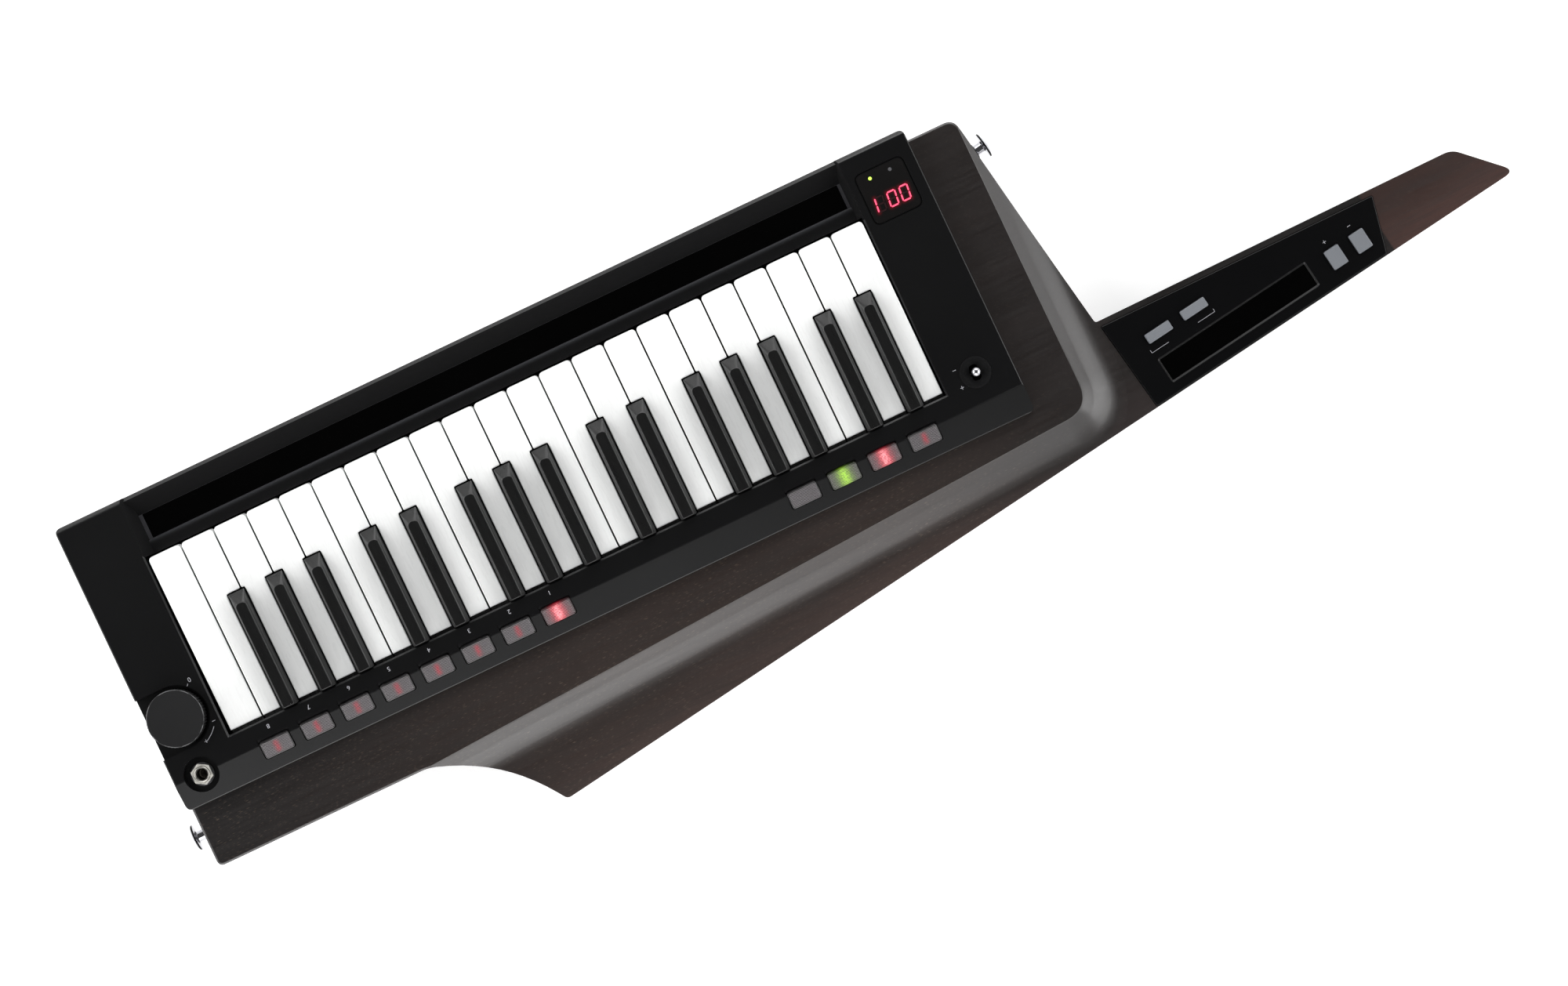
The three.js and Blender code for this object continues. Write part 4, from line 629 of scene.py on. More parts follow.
def neck_frame():
    """Where the neck's corner lies along and across the neck's direction, in the
    coordinates that a Mapping node turned by the neck's turn gives, in millimetres."""
    turn, (x, y) = math.radians(NECK_TURN), np.array([NECK_X, NECK_Y]) + SHIFT[:2]
    return x * math.cos(turn) + y * math.sin(turn), y * math.cos(turn) - x * math.sin(turn)


def metal_finish(name, colour, roughness, brushed=0.0):
    """Plated metal: a faint drift of tone, painted dark reflections where the rim mark says,
    with roughness that varies in fine rings."""
    f = Finish(name, Metallic=1.0)
    drift = f.noise(300, 3)
    plain = f.tones(f.spread(drift, 0, 1, 0.3, 0.7), colour, 0.88, 1.08)
    f.feed(
        # painted dark reflection where the rim mark says
        Base_Color=f.mix(f.mark("rim"), plain, tinted(colour, 0.03)),
        Roughness=f.spread(drift, roughness * 0.6, roughness * 1.5),
        Normal=f.bump(f.noise(1500, 2, (1, 1, 6)), 0.004 + brushed, 0.5),
    )


def white_key_finish(colours):
    """White moulded plastic under gloss, with faint warmer clouds and hairline marks, and
    painted shade, nearly black, on the side walls that the wall mark gives."""
    f = Finish("white_key", Coat_Weight=0.3, Coat_Roughness=0.12)
    plain = f.tones(f.clouds(20, 4), colours.white_key, 0.97, 1.03)
    # painted shade on the side walls in the gaps between the keys
    wall = f.times(f.mark("wall"), 0.95)
    f.feed(
        Base_Color=f.mix(wall, plain, tinted(colours.white_key, 0.02)),
        Roughness=f.spread(f.noise(160, 5, (4, 0.5, 1), 8), 0.27, 0.285, 0.35, 0.75),
        Normal=f.bump(f.noise(90, 2, (1, 0.3, 1)), 0.002, 0.2),
    )


def black_key_finish(colours):
    """Black plastic with a faint satin grain that runs along the key."""
    f = Finish("black_key")
    grain = f.noise(500, 3, (1, 0.12, 1))
    matt = f.times(f.mark("wall"), 0.5)
    f.feed(
        Base_Color=f.tones(f.noise(30, 3), colours.black_key, 0.8, 1.2),
        Roughness=f.sum("ADD", f.spread(grain, 0.27, 0.33, 0.3, 0.7), matt),
        Normal=f.bump(grain, 0.002, 0.4),
    )


def lamp_finish(name, colours, light, strength, core):
    """Smoky cap: its own grey, with a painted highlight on the rib crests and painted shade in
    the grooves and along the border, and where a lamp stands behind it a glow that the cap's
    glow mark gives, paler in the middle by the core's share, which is also painted into the
    grey as a tint of the lamp's colour."""
    f = Finish(name, Coat_Weight=0.2, Coat_Roughness=0.2)
    smoke, drift, rib = colours.lamp_cap, f.noise(220, 3), f.mark("rib")
    glow = f.times(f.mark("glow"), f.spread(f.noise(900, 2), 0.55, 1.2, 0.3, 0.7))
    # painted highlight on the rib crests, painted shade in the grooves
    grey = f.tones(rib, smoke, 0.55, 1.35)
    # painted shade: near black where the rib mark is below zero, on the border and the sides
    grey = f.mix(f.spread(rib, 0, 1, -0.6, -0.1), tinted(smoke, 0.03), grey)
    grey = f.mix(f.spread(drift, 0, 0.3, 0.3, 0.7), grey, tinted(smoke, 0.8))
    if strength:
        # the glow painted into the base colour as a tint of the lamp's colour
        grey = f.mix(f.times(glow, 0.5), grey, tinted(light, 0.4))
        pale = tuple(1 - (1 - c) * (1 - core) for c in light)
        ribbed = f.times(glow, f.spread(rib, 0.45, 1.0))
        f.feed(
            Emission_Color=f.mix(f.sum("POWER", glow, 2.0), tinted(light), tinted(pale)),
            Emission_Strength=f.times(ribbed, strength),
        )
    f.feed(Base_Color=grey, Roughness=f.spread(drift, 0.3, 0.42))


def glass_film(name, colour, roughness, halo_light=None):
    """A black film with a faint orange-peel ripple, and where its halo mark says, a
    glimmer of the figures behind it."""
    f = Finish(name, Specular_IOR_Level=0.12)
    drift = f.noise(30, 3)
    f.feed(
        Base_Color=f.tones(drift, colour, 0.8, 1.3),
        Roughness=f.spread(drift, roughness * 0.8, roughness * 1.2),
        Normal=f.bump(f.noise(120, 2), 0.004, 0.3),
    )
    if halo_light:
        f.feed(
            Emission_Color=f.tones(drift, halo_light, 0.9, 1),
            Emission_Strength=f.times(f.mark("halo"), 0.1),
        )


def glowing(name, colour, strength):
    """A figure behind a smoked window, with a fine unevenness: lit figures glow from their lamps,
    unlit ones get a faint painted glow.
    """
    f = Finish(name, Roughness=0.4)
    drift = f.noise(900, 2)
    f.feed(
        Base_Color=f.tones(drift, colour, 0.5, 0.8),
        Emission_Color=f.tones(drift, colour, 0.92, 1),
        Emission_Strength=f.spread(drift, strength * 0.9, strength * 1.1),
    )


def ink_finish(colours):
    """Silk-screened ink: pale, matt, thinner in small spots."""
    f = Finish("print_ink", Specular_IOR_Level=0.3)
    thin = f.noise(2500, 2)
    f.feed(
        Base_Color=f.tones(f.spread(thin, 0, 1, 0.3, 0.5), colours.ink, 0.75, 1),
        Roughness=f.spread(thin, 0.5, 0.7),
    )


def finish(name):
    """A finish by its name. All are made when the first one is asked for."""
    if name not in FINISHES:
        make_finishes(bpy.context.scene.keytar_colours)
    return FINISHES[name]


def make_finishes(colours):
    wood_finish(colours)
    case_finish(colours)
    knob_finish(colours)
    white_key_finish(colours)
    black_key_finish(colours)
    ink_finish(colours)
    moulded("black_panel", colours.panel, 0.3, 1400, 0.006, Specular_IOR_Level=0.3)
    moulded("shaded_case", colours.case, 0.8, 1400, 0.006, Specular_IOR_Level=0.16)
    moulded("cover_plastic", colours.cover, 0.55, 420, 0.06)
    moulded("pale_cap", colours.pale_cap, 0.42, 1300, 0.01, 0.05)
    metal_finish("chrome_metal", srgb(200, 200, 205), 0.13)
    metal_finish("nut_metal", srgb(238, 236, 228), 0.5)
    metal_finish("ball_metal", srgb(190, 190, 195), 0.26)
    metal_finish("jack_metal", srgb(180, 178, 172), 0.34)
    metal_finish("screw_metal", srgb(120, 120, 124), 0.34, 0.01)
    red, strength = colours.red_lamp, colours.lamp_strength
    lamp_finish("unlit_cap", colours, red, 0, 0)
    lamp_finish("dim_red_cap", colours, red, strength * 0.08, 0)
    lamp_finish("red_cap", colours, red, strength * 0.7, 0.35)
    lamp_finish("green_cap", colours, colours.green_lamp, strength * 0.4, 0.1)
    glass_film("touch_film", colours.film, 0.22)
    glass_film("display_glass", srgb(19, 18, 18), 0.34, red)
    glowing("lit_segment", srgb(255, 84, 116), 1.2)
    # unlit segments: a faint painted glow
    glowing("faint_segment", tuple(c * 0.1 for c in srgb(120, 30, 44)), 0.15)
    glowing("green_dot", srgb(200, 255, 90), 1.05)
    # the unlit dot: a faint painted glow
    glowing("grey_dot", srgb(96, 96, 100), 0.1)


# Wooden body

TURN = math.radians(NECK_TURN)
WOOD_OUTLINE = [
    (WOOD_TAIL, -35.4, 4), (90.5, -35.4, 5), (128.3, -49.4, 36),
    (152.4, NECK_Y - (NECK_X - 152.4) * math.tan(TURN), 2.4),
    (NECK_X + NECK_LENGTH * math.cos(TURN), NECK_Y + NECK_LENGTH * math.sin(TURN), 7),
    (757.6, 32.1, 5), (535.0, 30.1, 1.5), (510.9, WOOD_FRONT, 6), (WOOD_TAIL, WOOD_FRONT, 4),
]
COVE = [
    (1, 0), (0.942, 0.008), (0.846, 0.027), (0.731, 0.065), (0.577, 0.165), (0.423, 0.327),
    (0.288, 0.505), (0.21, 0.634), (0.115, 0.795), (0.023, 0.95), (0, 1),
]
COVE_WIDTH = 26.0


def raised_middle():
    """The raised middle: its edge line goes out by the cove's width as the hollow curve
    falls to the wing."""
    slope = math.tan(math.radians(3.15))
    tail, far = WOOD_TAIL - COVE_WIDTH, WOOD_FRONT + COVE_WIDTH
    edge = [
        (tail, -34.7 - (93.3 - tail) * slope), (511.0, -34.7 + (511.0 - 93.3) * slope, 15),
        (511.0, far), (tail, far),
    ]
    rise = MIDDLE_TOP - WING_TOP
    levels = [(WING_TOP + up * rise, out * COVE_WIDTH) for out, up in through(COVE, 3)]
    return layered(edge, [(WING_TOP - 1, COVE_WIDTH), *levels], 10)


def neck_back_cut():
    """What is taken from under the neck: a block less a half-round that narrows and
    thins towards the tip."""
    rings = []
    for along in (-12.0, NECK_LENGTH + 12):
        share = min(max(along / NECK_LENGTH, 0), 1)
        width = 58.5 + (25 - 58.5) * share
        angle = np.linspace(math.pi, 2 * math.pi, 33)
        across = width / 2 + (width / 2 + 2) * np.cos(angle)
        height = 16 + (16 - share * 5) * np.sin(angle)
        rings.append(np.column_stack([np.full(33, along), across, height]))
    side = [(20, -2), (NECK_LENGTH + 10, -2), (NECK_LENGTH + 10, 16), (8, 16)]
    return on_neck(carved(bar_y(side, -58.5, 117), ("DIFFERENCE", loft(rings))))


def neck_pockets():
    """The room under the neck panel for its plate and its buttons."""
    floor = PANEL_UNDER - 0.3
    plate = prism(offset(PANEL, 0.3), floor, MIDDLE_TOP)
    low = block(13.4, 156.3, 5, 30, floor - 10, MIDDLE_TOP)
    modes = block(8.3, 64, 29.2, 40.8, floor - 10, MIDDLE_TOP)
    return on_neck(carved(plate, ("UNION", low, modes)))


def strap_button():
    """A strap button that points along X: collar, stem and a thin domed disc, whose two
    faces are curves through points, turned about its axis."""
    under = [(3.1, 6.0), (3.4, 6.5), (4.6, 6.8), (6.4, 6.9), (7.2, 7.0), (7.55, 7.3), (7.6, 7.6)]
    face = through([(7.5, 7.9), (7.1, 8.15), (6.0, 8.7), (4.6, 9.15), (3.9, 9.25)], 4)
    profile = [(0.4, -3), (4.7, -3), (4.7, 1.5), (4.5, 1.8), (4.2, 1.95), (3.4, 2.0), (3.1, 2.3)]
    profile += [*through(under, 4).tolist(), *face.tolist(), (3.6, 9.1), (0.4, 9.1)]
    return rotated(turned(profile, 72), 1, 90)


def cross(reach, half, low, high):
    """The two bars that cut the slots of a crosshead screw."""
    return [block(-x, x, -y, y, low, high) for x, y in ((reach, half), (half, reach))]


def strap_screw():
    """The crosshead screw in a strap button: a dome with a cross cut into it."""
    angle = np.linspace(0, math.pi / 2, 8)
    dome = np.column_stack([3.3 * np.cos(angle) + 0.05, 9.2 + 0.36 * np.sin(angle)])
    head = turned([(3.35, 8.6), *dome.tolist()], 40)
    return rotated(carved(head, ("DIFFERENCE", *cross(2, 0.35, 8.9, 10.4))), 1, 90)


class KEYTAR_OT_wood(bpy.types.Operator):
    """Build the wooden body and its strap buttons"""

    bl_idname = "keytar.wood"
    bl_label = "Wooden body"

    def execute(self, context):
        edges = rounded_bottom(0, 3, 5) + rounded_top(WING_TOP, 0.35, 3)
        full = offset(WOOD_OUTLINE, -0.05)
        full = layered(full, [(3, 0), *rounded_top(MIDDLE_TOP, 1.6, 4)], 10)
        wood = carved(
            layered(WOOD_OUTLINE, edges, 10),
            ("UNION", carved(raised_middle(), ("INTERSECT", full))),
            ("DIFFERENCE", block(-33, 472, 8, 160, -2, 42, 4)),
            ("DIFFERENCE", block(-36.5, 477, 4.5, 163.5, -2, 3.3, 4)),
            ("DIFFERENCE", block(-41.3, 482.5, 156, 169.2, 37.9, 42)),
            ("DIFFERENCE", neck_back_cut(), neck_pockets()),
        )
        piece("wooden_body", wood, "stained_wood", "stained_wood", 28, stands_for="wood_body")
        lean = math.degrees(math.atan2(52.8 - 28.7, WOOD_FRONT - 30.1))
        share = (WOOD_FRONT - 146.4) / (WOOD_FRONT - 30.1)
        side = CASE_HEAD + 28.7 + (52.8 - 28.7) * share
        ends = ("tail", 180, (WOOD_TAIL, -15.2, 20)), ("head", lean, (side, 146.4, 15))
        for name, turn, where in ends:
            for part, skin, look in (
                ("pin", strap_button(), "chrome_metal"), ("screw", strap_screw(), "screw_metal")
            ):
                far, along = np.hypot(skin[0][:, 1], skin[0][:, 2]), skin[0][:, 0]
                # the rim mark: the disc's outer edge and the collar, where the chrome gets painted
                # dark reflections
                rim = (far > 7.3) | ((far > 4.3) & (along < 2.1))
                skin = moved(rotated(skin, 2, turn), where)
                piece(f"{name}_strap_{part}", skin, look, "chrome_metal", 40, rim=rim)
        return {"FINISHED"}


# Keys


def key_layout():
    """Every key by its place: note, octave, tail end of its pitch, and the middle of the
    black key on its tail side, where there is one."""
    rows = []
    for i in range(WHITE_KEYS):
        note = NOTES[i % 7]
        tail = KEYBOARD - (i + 1) * WHITE_PITCH
        last = i == WHITE_KEYS - 1
        black = None if last or note not in BLACK_SHIFT else tail + BLACK_SHIFT[note]
        rows.append((note, 3 + i // 7, tail, black))
    return rows


def white_key(tail, head, back_tail, back_head, edge):
    """A white key: its plan, with the cut-outs for its black neighbours, carried up to a
    quarter-round edge."""
    plan = [(back_tail, RAISED_START, 0.3), (back_head, RAISED_START, 0.3)]
    if back_head < head:
        plan += [(back_head, WHITE_SHOULDER, 0.8), (head, WHITE_SHOULDER, 0.8)]
    plan += [(head, WHITE_FRONT, 2.6), (tail, WHITE_FRONT, 2.6)]
    if back_tail > tail:
        plan += [(tail, WHITE_SHOULDER, 0.8), (back_tail, WHITE_SHOULDER, 0.8)]
    low = [(WHITE_BOTTOM, -0.3), (WHITE_BOTTOM + 0.3, 0), (WHITE_TOP - edge - 0.25, 0)]
    return layered(plan, low + rounded_top(WHITE_TOP, edge, 4), 5)


def key_underside(x0, x1, middle):
    """The lever of a key under the rear rail, arched over the hinge bar, and the leg that
    catches the stop rail."""
    turns = np.linspace(math.pi, 0, 9)
    arch = [(2.3 * math.cos(turn), 2.3 * math.sin(turn)) for turn in turns]
    lever = [(-4.6, -3), (-2.3, -3), *arch, (2.3, -3), (16.9, -3), (16.9, 4), (-4.6, 4)]
    leg, reach = BLACK_FRONT - 16.1, BLACK_FRONT - 13.6
    hook = [(leg, -13), (leg + 8, -13), (leg + 8, -11), (reach, -11), (reach, -2), (leg, -2)]
    return both(bar_x(lever, x0, x1), bar_x(hook, middle - 2, middle + 2))


def black_key(middle, edge):
    """A black key: a foot, sides that lean in to a narrower top, a hollowed top and a
    slanted front, as rings of one rounded rectangle that shrinks and rises."""
    low = rect(middle - 4.9, middle + 4.9, BLACK_START, BLACK_FRONT, 0.7)
    high = rect(middle - 3.3, middle + 3.3, BLACK_START + 0.6, BLACK_FRONT - 6.2)
    high = [(x, y, 1.0 if y < BLACK_FRONT / 2 else 2.9) for x, y, _ in high]
    foot, crown, top = outline(low, 5), outline(high, 5), WHITE_TOP + 8
    rings = [at_height(foot, -2.5), at_height(foot, WHITE_TOP - 0.4)]
    for share in (0.0, 0.04, 0.5, 0.9, 0.94, 0.97):
        z = WHITE_TOP + 0.4 + (top - edge - WHITE_TOP - 0.4) * share
        rings.append(at_height(foot + (crown - foot) * share, z))
    for z, out in [*rounded_top(top, edge, 5), (top - 0.12, -edge - 0.5)]:
        rings.append(at_height(outline(offset(high, out), 5), z))
    return loft(rings)


class KEYTAR_OT_white_keys(bpy.types.Operator):
    """Build the white keys"""

    bl_idname = "keytar.white_keys"
    bl_label = "White keys"

    def execute(self, context):
        edge, before = context.scene.keytar_sizes.key_edge / MM, None
        for note, octave, tail, black in key_layout():
            x0, x1 = tail + WHITE_GAP / 2, tail + WHITE_PITCH - WHITE_GAP / 2
            back0 = x0 if black is None else black + BLACK_CUTOUT / 2
            back1 = x1 if before is None else before - BLACK_CUTOUT / 2
            before = black
            under = key_underside(back0, back1, (back0 + back1) / 2)
            skin = both(white_key(x0, x1, back0, back1, edge), under)
            # the wall mark: the sides below the top's rounding, back from the front, where the
            # finish paints shade
            wall = skin[0][:, 2] < WHITE_TOP - edge - 0.1
            wall &= skin[0][:, 1] < WHITE_FRONT - 2.7
            node = f"white_key_{note}{octave}"
            skin, look = on_hinge(skin), "white_key"
            piece(node + "_cap", skin, look, look, 30, node, node, wall=wall)
        return {"FINISHED"}


class KEYTAR_OT_black_keys(bpy.types.Operator):
    """Build the black keys"""

    bl_idname = "keytar.black_keys"
    bl_label = "Black keys"

    def execute(self, context):
        edge = context.scene.keytar_sizes.black_edge / MM
        for note, octave, _, black in key_layout():
            if black is None:
                continue
            skin = both(black_key(black, edge), key_underside(black - 4.9, black + 4.9, black))
            wall = np.clip((WHITE_TOP + 7.2 - skin[0][:, 2]) / 0.4, 0, 1)
            wall *= skin[0][:, 1] < BLACK_FRONT - 6.4 - 0.35 * 2.9
            node = f"black_key_{note}_sharp_{octave}"
            skin, look = on_hinge(skin), "black_key"
            piece(node + "_cap", skin, look, look, 34, node, node, wall=wall)
        return {"FINISHED"}


# Buttons


def edge_drop(x, y, length, width, edge):
    """Drop of a quarter-round edge, from how near a point lies to the border."""
    near = np.minimum(length / 2 - np.abs(x), width / 2 - np.abs(y))
    gone = np.clip(1 - near / edge, 0, 1)
    return edge * (1 - np.sqrt(np.maximum(1 - gone**2, 0)))


def lamp_cap(sizes):
    """A ribbed cap on its own plane: the drop at the border plus a cosine across the
    ribs. Returns the skin, its rib shares, which are -1 on the border and the sides where
    the finish paints shade, and its glows by strength, point by point: a glow falls off as
    a bell curve to both sides, and towards the ends of the cap."""
    x, y, half = rounded_grid(BUTTON_LENGTH, BUTTON_WIDTH, BUTTON_CORNER, 121, 41)
    rib = 0.5 + 0.5 * np.cos(2 * math.pi * y / (sizes.rib_pitch / MM))
    inner = np.clip(np.minimum(half - np.abs(x), BUTTON_WIDTH / 2 - np.abs(y)) - 0.7, 0, 0.4) / 0.4
    drop = edge_drop(x * BUTTON_LENGTH / 2 / half, y, BUTTON_LENGTH, BUTTON_WIDTH, 0.7)
    z = BUTTON_PROUD - drop - sizes.rib_depth / MM * (1 - rib) * inner
    skin = relief(np.stack([x, y, z], -1), -2.9)
    extra = np.zeros(len(skin[0]) - x.size)
    past = np.stack([np.abs(x) - BUTTON_LENGTH / 2 + 2, np.abs(y) - BUTTON_WIDTH / 2 + 2])
    near = 2 - np.hypot(*past.clip(0)) - past.max(0).clip(None, 0)
    # -1 marks the band along the border, where the finish paints shade
    share = np.where(near < 0.62, -1.0, np.where(inner > 0, rib, 0.8)).ravel()
    wide = 0.2 * np.exp(-((x / 6) ** 2))
    glows = {}
    for strength, reach, tall, more in (("dim", 1.5, 4.2, 0), ("lit", 2.9, 6.5, wide)):
        glow = (np.exp(-((x / reach) ** 2)) + more) * np.clip(1 - np.abs(y / tall) ** 3, 0, 1)
        glows[strength] = np.append(glow.ravel(), extra)
    # the sides and the underside get -1 too: painted shade
    return skin, np.append(share, extra - 1), glows


def flange_under(length, width, drop, thick):
    return block(-length / 2, length / 2, -width / 2, width / 2, -drop - thick, -drop, 0.6, 3)


def lamp_rows():
    """Every lamp button: its node, its place along X and its finish."""
    rows = [(f"program_button_{8 - i}", 20.7 + i * BUTTON_PITCH, "dim_red_cap") for i in range(8)]
    rows[-1] = (*rows[-1][:2], "red_cap")
    looks = ("shift", "unlit"), ("ribbon", "green"), ("arpeggio", "red"), ("tap", "dim_red")
    for i, (name, look) in enumerate(looks):
        rows.append((name + "_button", 345.6 + i * BUTTON_PITCH, look + "_cap"))
    return rows


class KEYTAR_OT_lamp_buttons(bpy.types.Operator):
    """Build the ribbed buttons of the rear rail"""

    bl_idname = "keytar.lamp_buttons"
    bl_label = "Lamp buttons"

    def execute(self, context):
        skin, rib, glows = lamp_cap(context.scene.keytar_sizes)
        flange = moved(flange_under(21.5, 9.9, 2.7, 1.3), (0, -1.4, 0))
        extra = np.zeros(len(flange[0]))
        for node, x, look in lamp_rows():
            glow = glows["dim" if look in ("dim_red_cap", "unlit_cap") else "lit"]
            piece(
                node + "_cap", on_facet(both(skin, flange), x), look, "lamp_cap", 60, node, node,
                weigh=False, glow=np.append(glow, extra), rib=np.append(rib, extra),
            )
        return {"FINISHED"}


class KEYTAR_OT_neck_buttons(bpy.types.Operator):
    """Build the pale caps of the neck"""

    bl_idname = "keytar.neck_buttons"
    bl_label = "Neck buttons"

    def execute(self, context):
        for node, (x, y, length, width) in NECK_BUTTONS.items():
            across, along, half = rounded_grid(length, width, 0.7, 41, 41)
            drop = edge_drop(across * length / 2 / half, along, length, width, 0.6)
            dish = 0.25 * (1 - (2 * across / length) ** 2) * (1 - (2 * along / width) ** 2)
            cap = relief(np.stack([across, along, 2 - drop - dish.clip(0)], -1), -3.6)
            flange = flange_under(length + 2.5, width + 2.5, 3.6, 1.2)
            skin = moved(both(cap, flange, post(0, 0, 1.8, -7.5, -4.8, 24)), (x, y, PANEL_TOP))
            piece(
                node + "_cap", on_neck(skin), "pale_cap", "pale_cap", 40, node, node, weigh=False
            )
        return {"FINISHED"}


# Knob, jack, lever


def circle(radius, angle, z):
    """A ring of points, whose radius may change round it."""
    return at_height(np.column_stack([radius * np.cos(angle), radius * np.sin(angle)]), z)


class KEYTAR_OT_knob(bpy.types.Operator):
    """Build the fluted volume knob"""

    bl_idname = "keytar.knob"
    bl_label = "Volume knob"

    def execute(self, context):
        sizes = context.scene.keytar_sizes
        count = sizes.flutes * 8
        angle = np.linspace(0, 2 * math.pi, count, endpoint=False)
        flute = (0.5 - 0.5 * np.cos(sizes.flutes * angle)) ** 0.7 * sizes.flute_depth / MM
        low, top = 43.6, 58.2
        rows = [(0.4, low, 0), (14.6, low, 0), (15.9, low + 0.2, 0.3)]
        rows += [(16.4, low + 0.8, 1), (16.4, top - 0.9, 1)]
        for turn in np.linspace(0, math.pi / 2, 6):
            reach, rise = 0.4 * math.cos(turn), 0.4 * math.sin(turn)
            rows.append((15.85 + reach, top - 0.4 + rise, 0.25 - turn * 0.15))
        for reach in (15.6, 14, 12, 9, 6, 3, 0.4):
            rows.append((reach, top - 0.3 + 0.3 * (reach / 15.6) ** 2, 0))
        rings = [circle(reach - flute * share, angle, z) for reach, z, share in rows]
        skin = both(loft(rings), turned([(3, low - 9), (3, low + 0.3)], 32))
        row = np.arange(len(skin[0])) // count
        # the rim mark picks the top of the rounding at the knob's upper edge, where the finish
        # paints a highlight
        piece(
            "volume_knob_cap", moved(skin, (KNOB_X, KNOB_Y, 0)), "knob_plastic", "knob_plastic",
            36, "volume_knob", "volume_knob", rim=(row == 9) | (row == 10),
        )
        return {"FINISHED"}


class KEYTAR_OT_jack(bpy.types.Operator):
    """Build the output jack with its nut and washer"""

    bl_idname = "keytar.jack"
    bl_label = "Output jack"

    def execute(self, context):
        pitch = context.scene.keytar_sizes.thread_pitch / MM
        ring = [(4.7, 44.7), (6.5, 44.7), (6.8, 44.85), (6.8, 45.1), (6.6, 45.3), (4.7, 45.3)]
        angle = np.linspace(0, 2 * math.pi, 96, endpoint=False)
        hexagon = 5.5 / np.cos((angle + math.pi / 6) % (math.pi / 3) - math.pi / 6)
        rows = [(5.55, 45.3), (6.6, 45.65), (6.6, 47.4), (6.15, 47.65), (5.95, 47.7)]
        rows += [(4.65, 47.7), (4.5, 47.5), (4.42, 47.2), (4.42, 45.3)]
        nut = loft([circle(np.minimum(hexagon, reach), angle, z) for reach, z in rows], True)
        z = np.arange(42.2, 48.25, pitch / 4)
        thread = np.column_stack([4.28 + 0.12 * np.cos(2 * math.pi * z / pitch), z])
        profile = [(0.4, 15.1), (7, 15.1), (7, 42.1), (4.4, 42.15), *thread.tolist()]
        profile += [(4.3, 48.35), (4.0, 48.6), (3.8, 48.65), (3.6, 48.6), (3.3, 48.2)]
        profile += [(3.2, 34), (2.6, 33.6), (2.6, 18), (2.2, 17.1), (0.4, 17.1)]
        for name, skin, look, node in (
            ("bush", turned(profile, 72), "jack_metal", "output_jack"),
            ("nut", nut, "nut_metal", ""),
            ("washer", turned(ring, 64, looped=True), "screw_metal", ""),
        ):
            skin = moved(skin, (JACK_X, JACK_Y, 0))
            piece("jack_" + name, skin, look, "jack_metal", 30, stands_for=node)
        return {"FINISHED"}


class KEYTAR_OT_lever(bpy.types.Operator):
    """Build the sprung sound lever: a stem that swells to a ball, with its pin"""

    bl_idname = "keytar.lever"
    bl_label = "Sound lever"

    def execute(self, context):
        arc = np.linspace(-0.9, math.pi / 2 - 0.08, 14)
        ball = np.column_stack([2.6 * np.cos(arc), 16.4 + 2.6 * np.sin(arc)])
        stem = [(0.3, -6), (1.6, -6), (1.6, 6.5), (1.3, 8), (1.2, 12), (1.35, 13.8)]
        stem += ball.tolist()
        pin = rotated(turned([(1.5, -5.5), (1.5, 5.5)], 32), 1, 90)
        for name, skin, look, node in (
            ("stem", turned(stem, 48), "ball_metal", "sound_lever"), ("pin", pin, "black_case", "")
        ):
            skin = moved(skin, (LEVER_X, LEVER_Y, CASE_TOP - 7))
            piece("sound_lever_" + name, skin, look, "chrome_metal", 40, "sound_lever", node)
        return {"FINISHED"}


# Display, films and prints

SEGMENTS = {
    "a": (0, 2, 1, 2), "b": (1, 2, 1, 1), "c": (1, 1, 1, 0), "d": (1, 0, 0, 0),
    "e": (0, 0, 0, 1), "f": (0, 1, 0, 2), "g": (0, 1, 1, 1),
}
LIT = {"0": "abcdef", "1": "bc"}
DIGITS = (("0", 471.2), ("0", 463.7), ("1", 456.2))
DIGIT_Y, DIGIT_WIDTH, DIGIT_HEIGHT = 145.0, 4.7, 8.2
DIGIT_SLANT = 0.1


def bars(lit):
    """The lit or the faint bars of the digits, which are read from the keys' side, as
    rows of x0, y0, x1, y1 before the slant."""
    column, row = np.array([-DIGIT_WIDTH, 0]), np.array([0, -DIGIT_HEIGHT / 2])
    return np.array([
        np.append([x, DIGIT_Y] + c0 * column + r0 * row, [x, DIGIT_Y] + c1 * column + r1 * row)
        for figure, x in DIGITS
        for name, (c0, r0, c1, r1) in SEGMENTS.items()
        if (name in LIT[figure]) == lit
    ])


def slanted(flat):
    return np.column_stack([flat[:, 0] - (DIGIT_Y - flat[:, 1]) * DIGIT_SLANT, flat[:, 1]])


def segments(lit, thick=0.88, gap=0.14):
    """The bars as thin solids from end to end, with pointed ends."""
    skins = []
    for x0, y0, x1, y1 in bars(lit):
        start, end = np.array([x0, y0]), np.array([x1, y1])
        along = (end - start) / np.linalg.norm(end - start)
        across, cut = np.array([-along[1], along[0]]) * thick / 2, along * thick / 2
        start, end = start + along * gap, end - along * gap
        flat = slanted(np.array([
            start, start + cut - across, end - cut - across,
            end, end - cut + across, start + cut + across,
        ]))
        skins.append(loft([at_height(flat, 50.1), at_height(flat, 50.14)]))
    return both(*skins)


def halo(points):
    """How much light of the lit bars reaches each point: a bell curve of its distance to
    the nearest bar."""
    ends = slanted(bars(True).reshape(-1, 2)).reshape(-1, 4)
    start, along = ends[:, :2], ends[:, 2:] - ends[:, :2]
    to = points[:, None, :2] - start[None]
    share = np.clip((to * along).sum(2) / (along**2).sum(1), 0, 1)
    far = np.linalg.norm(to - share[..., None] * along, axis=2).min(1)
    return np.exp(-((far / 1.1) ** 2))


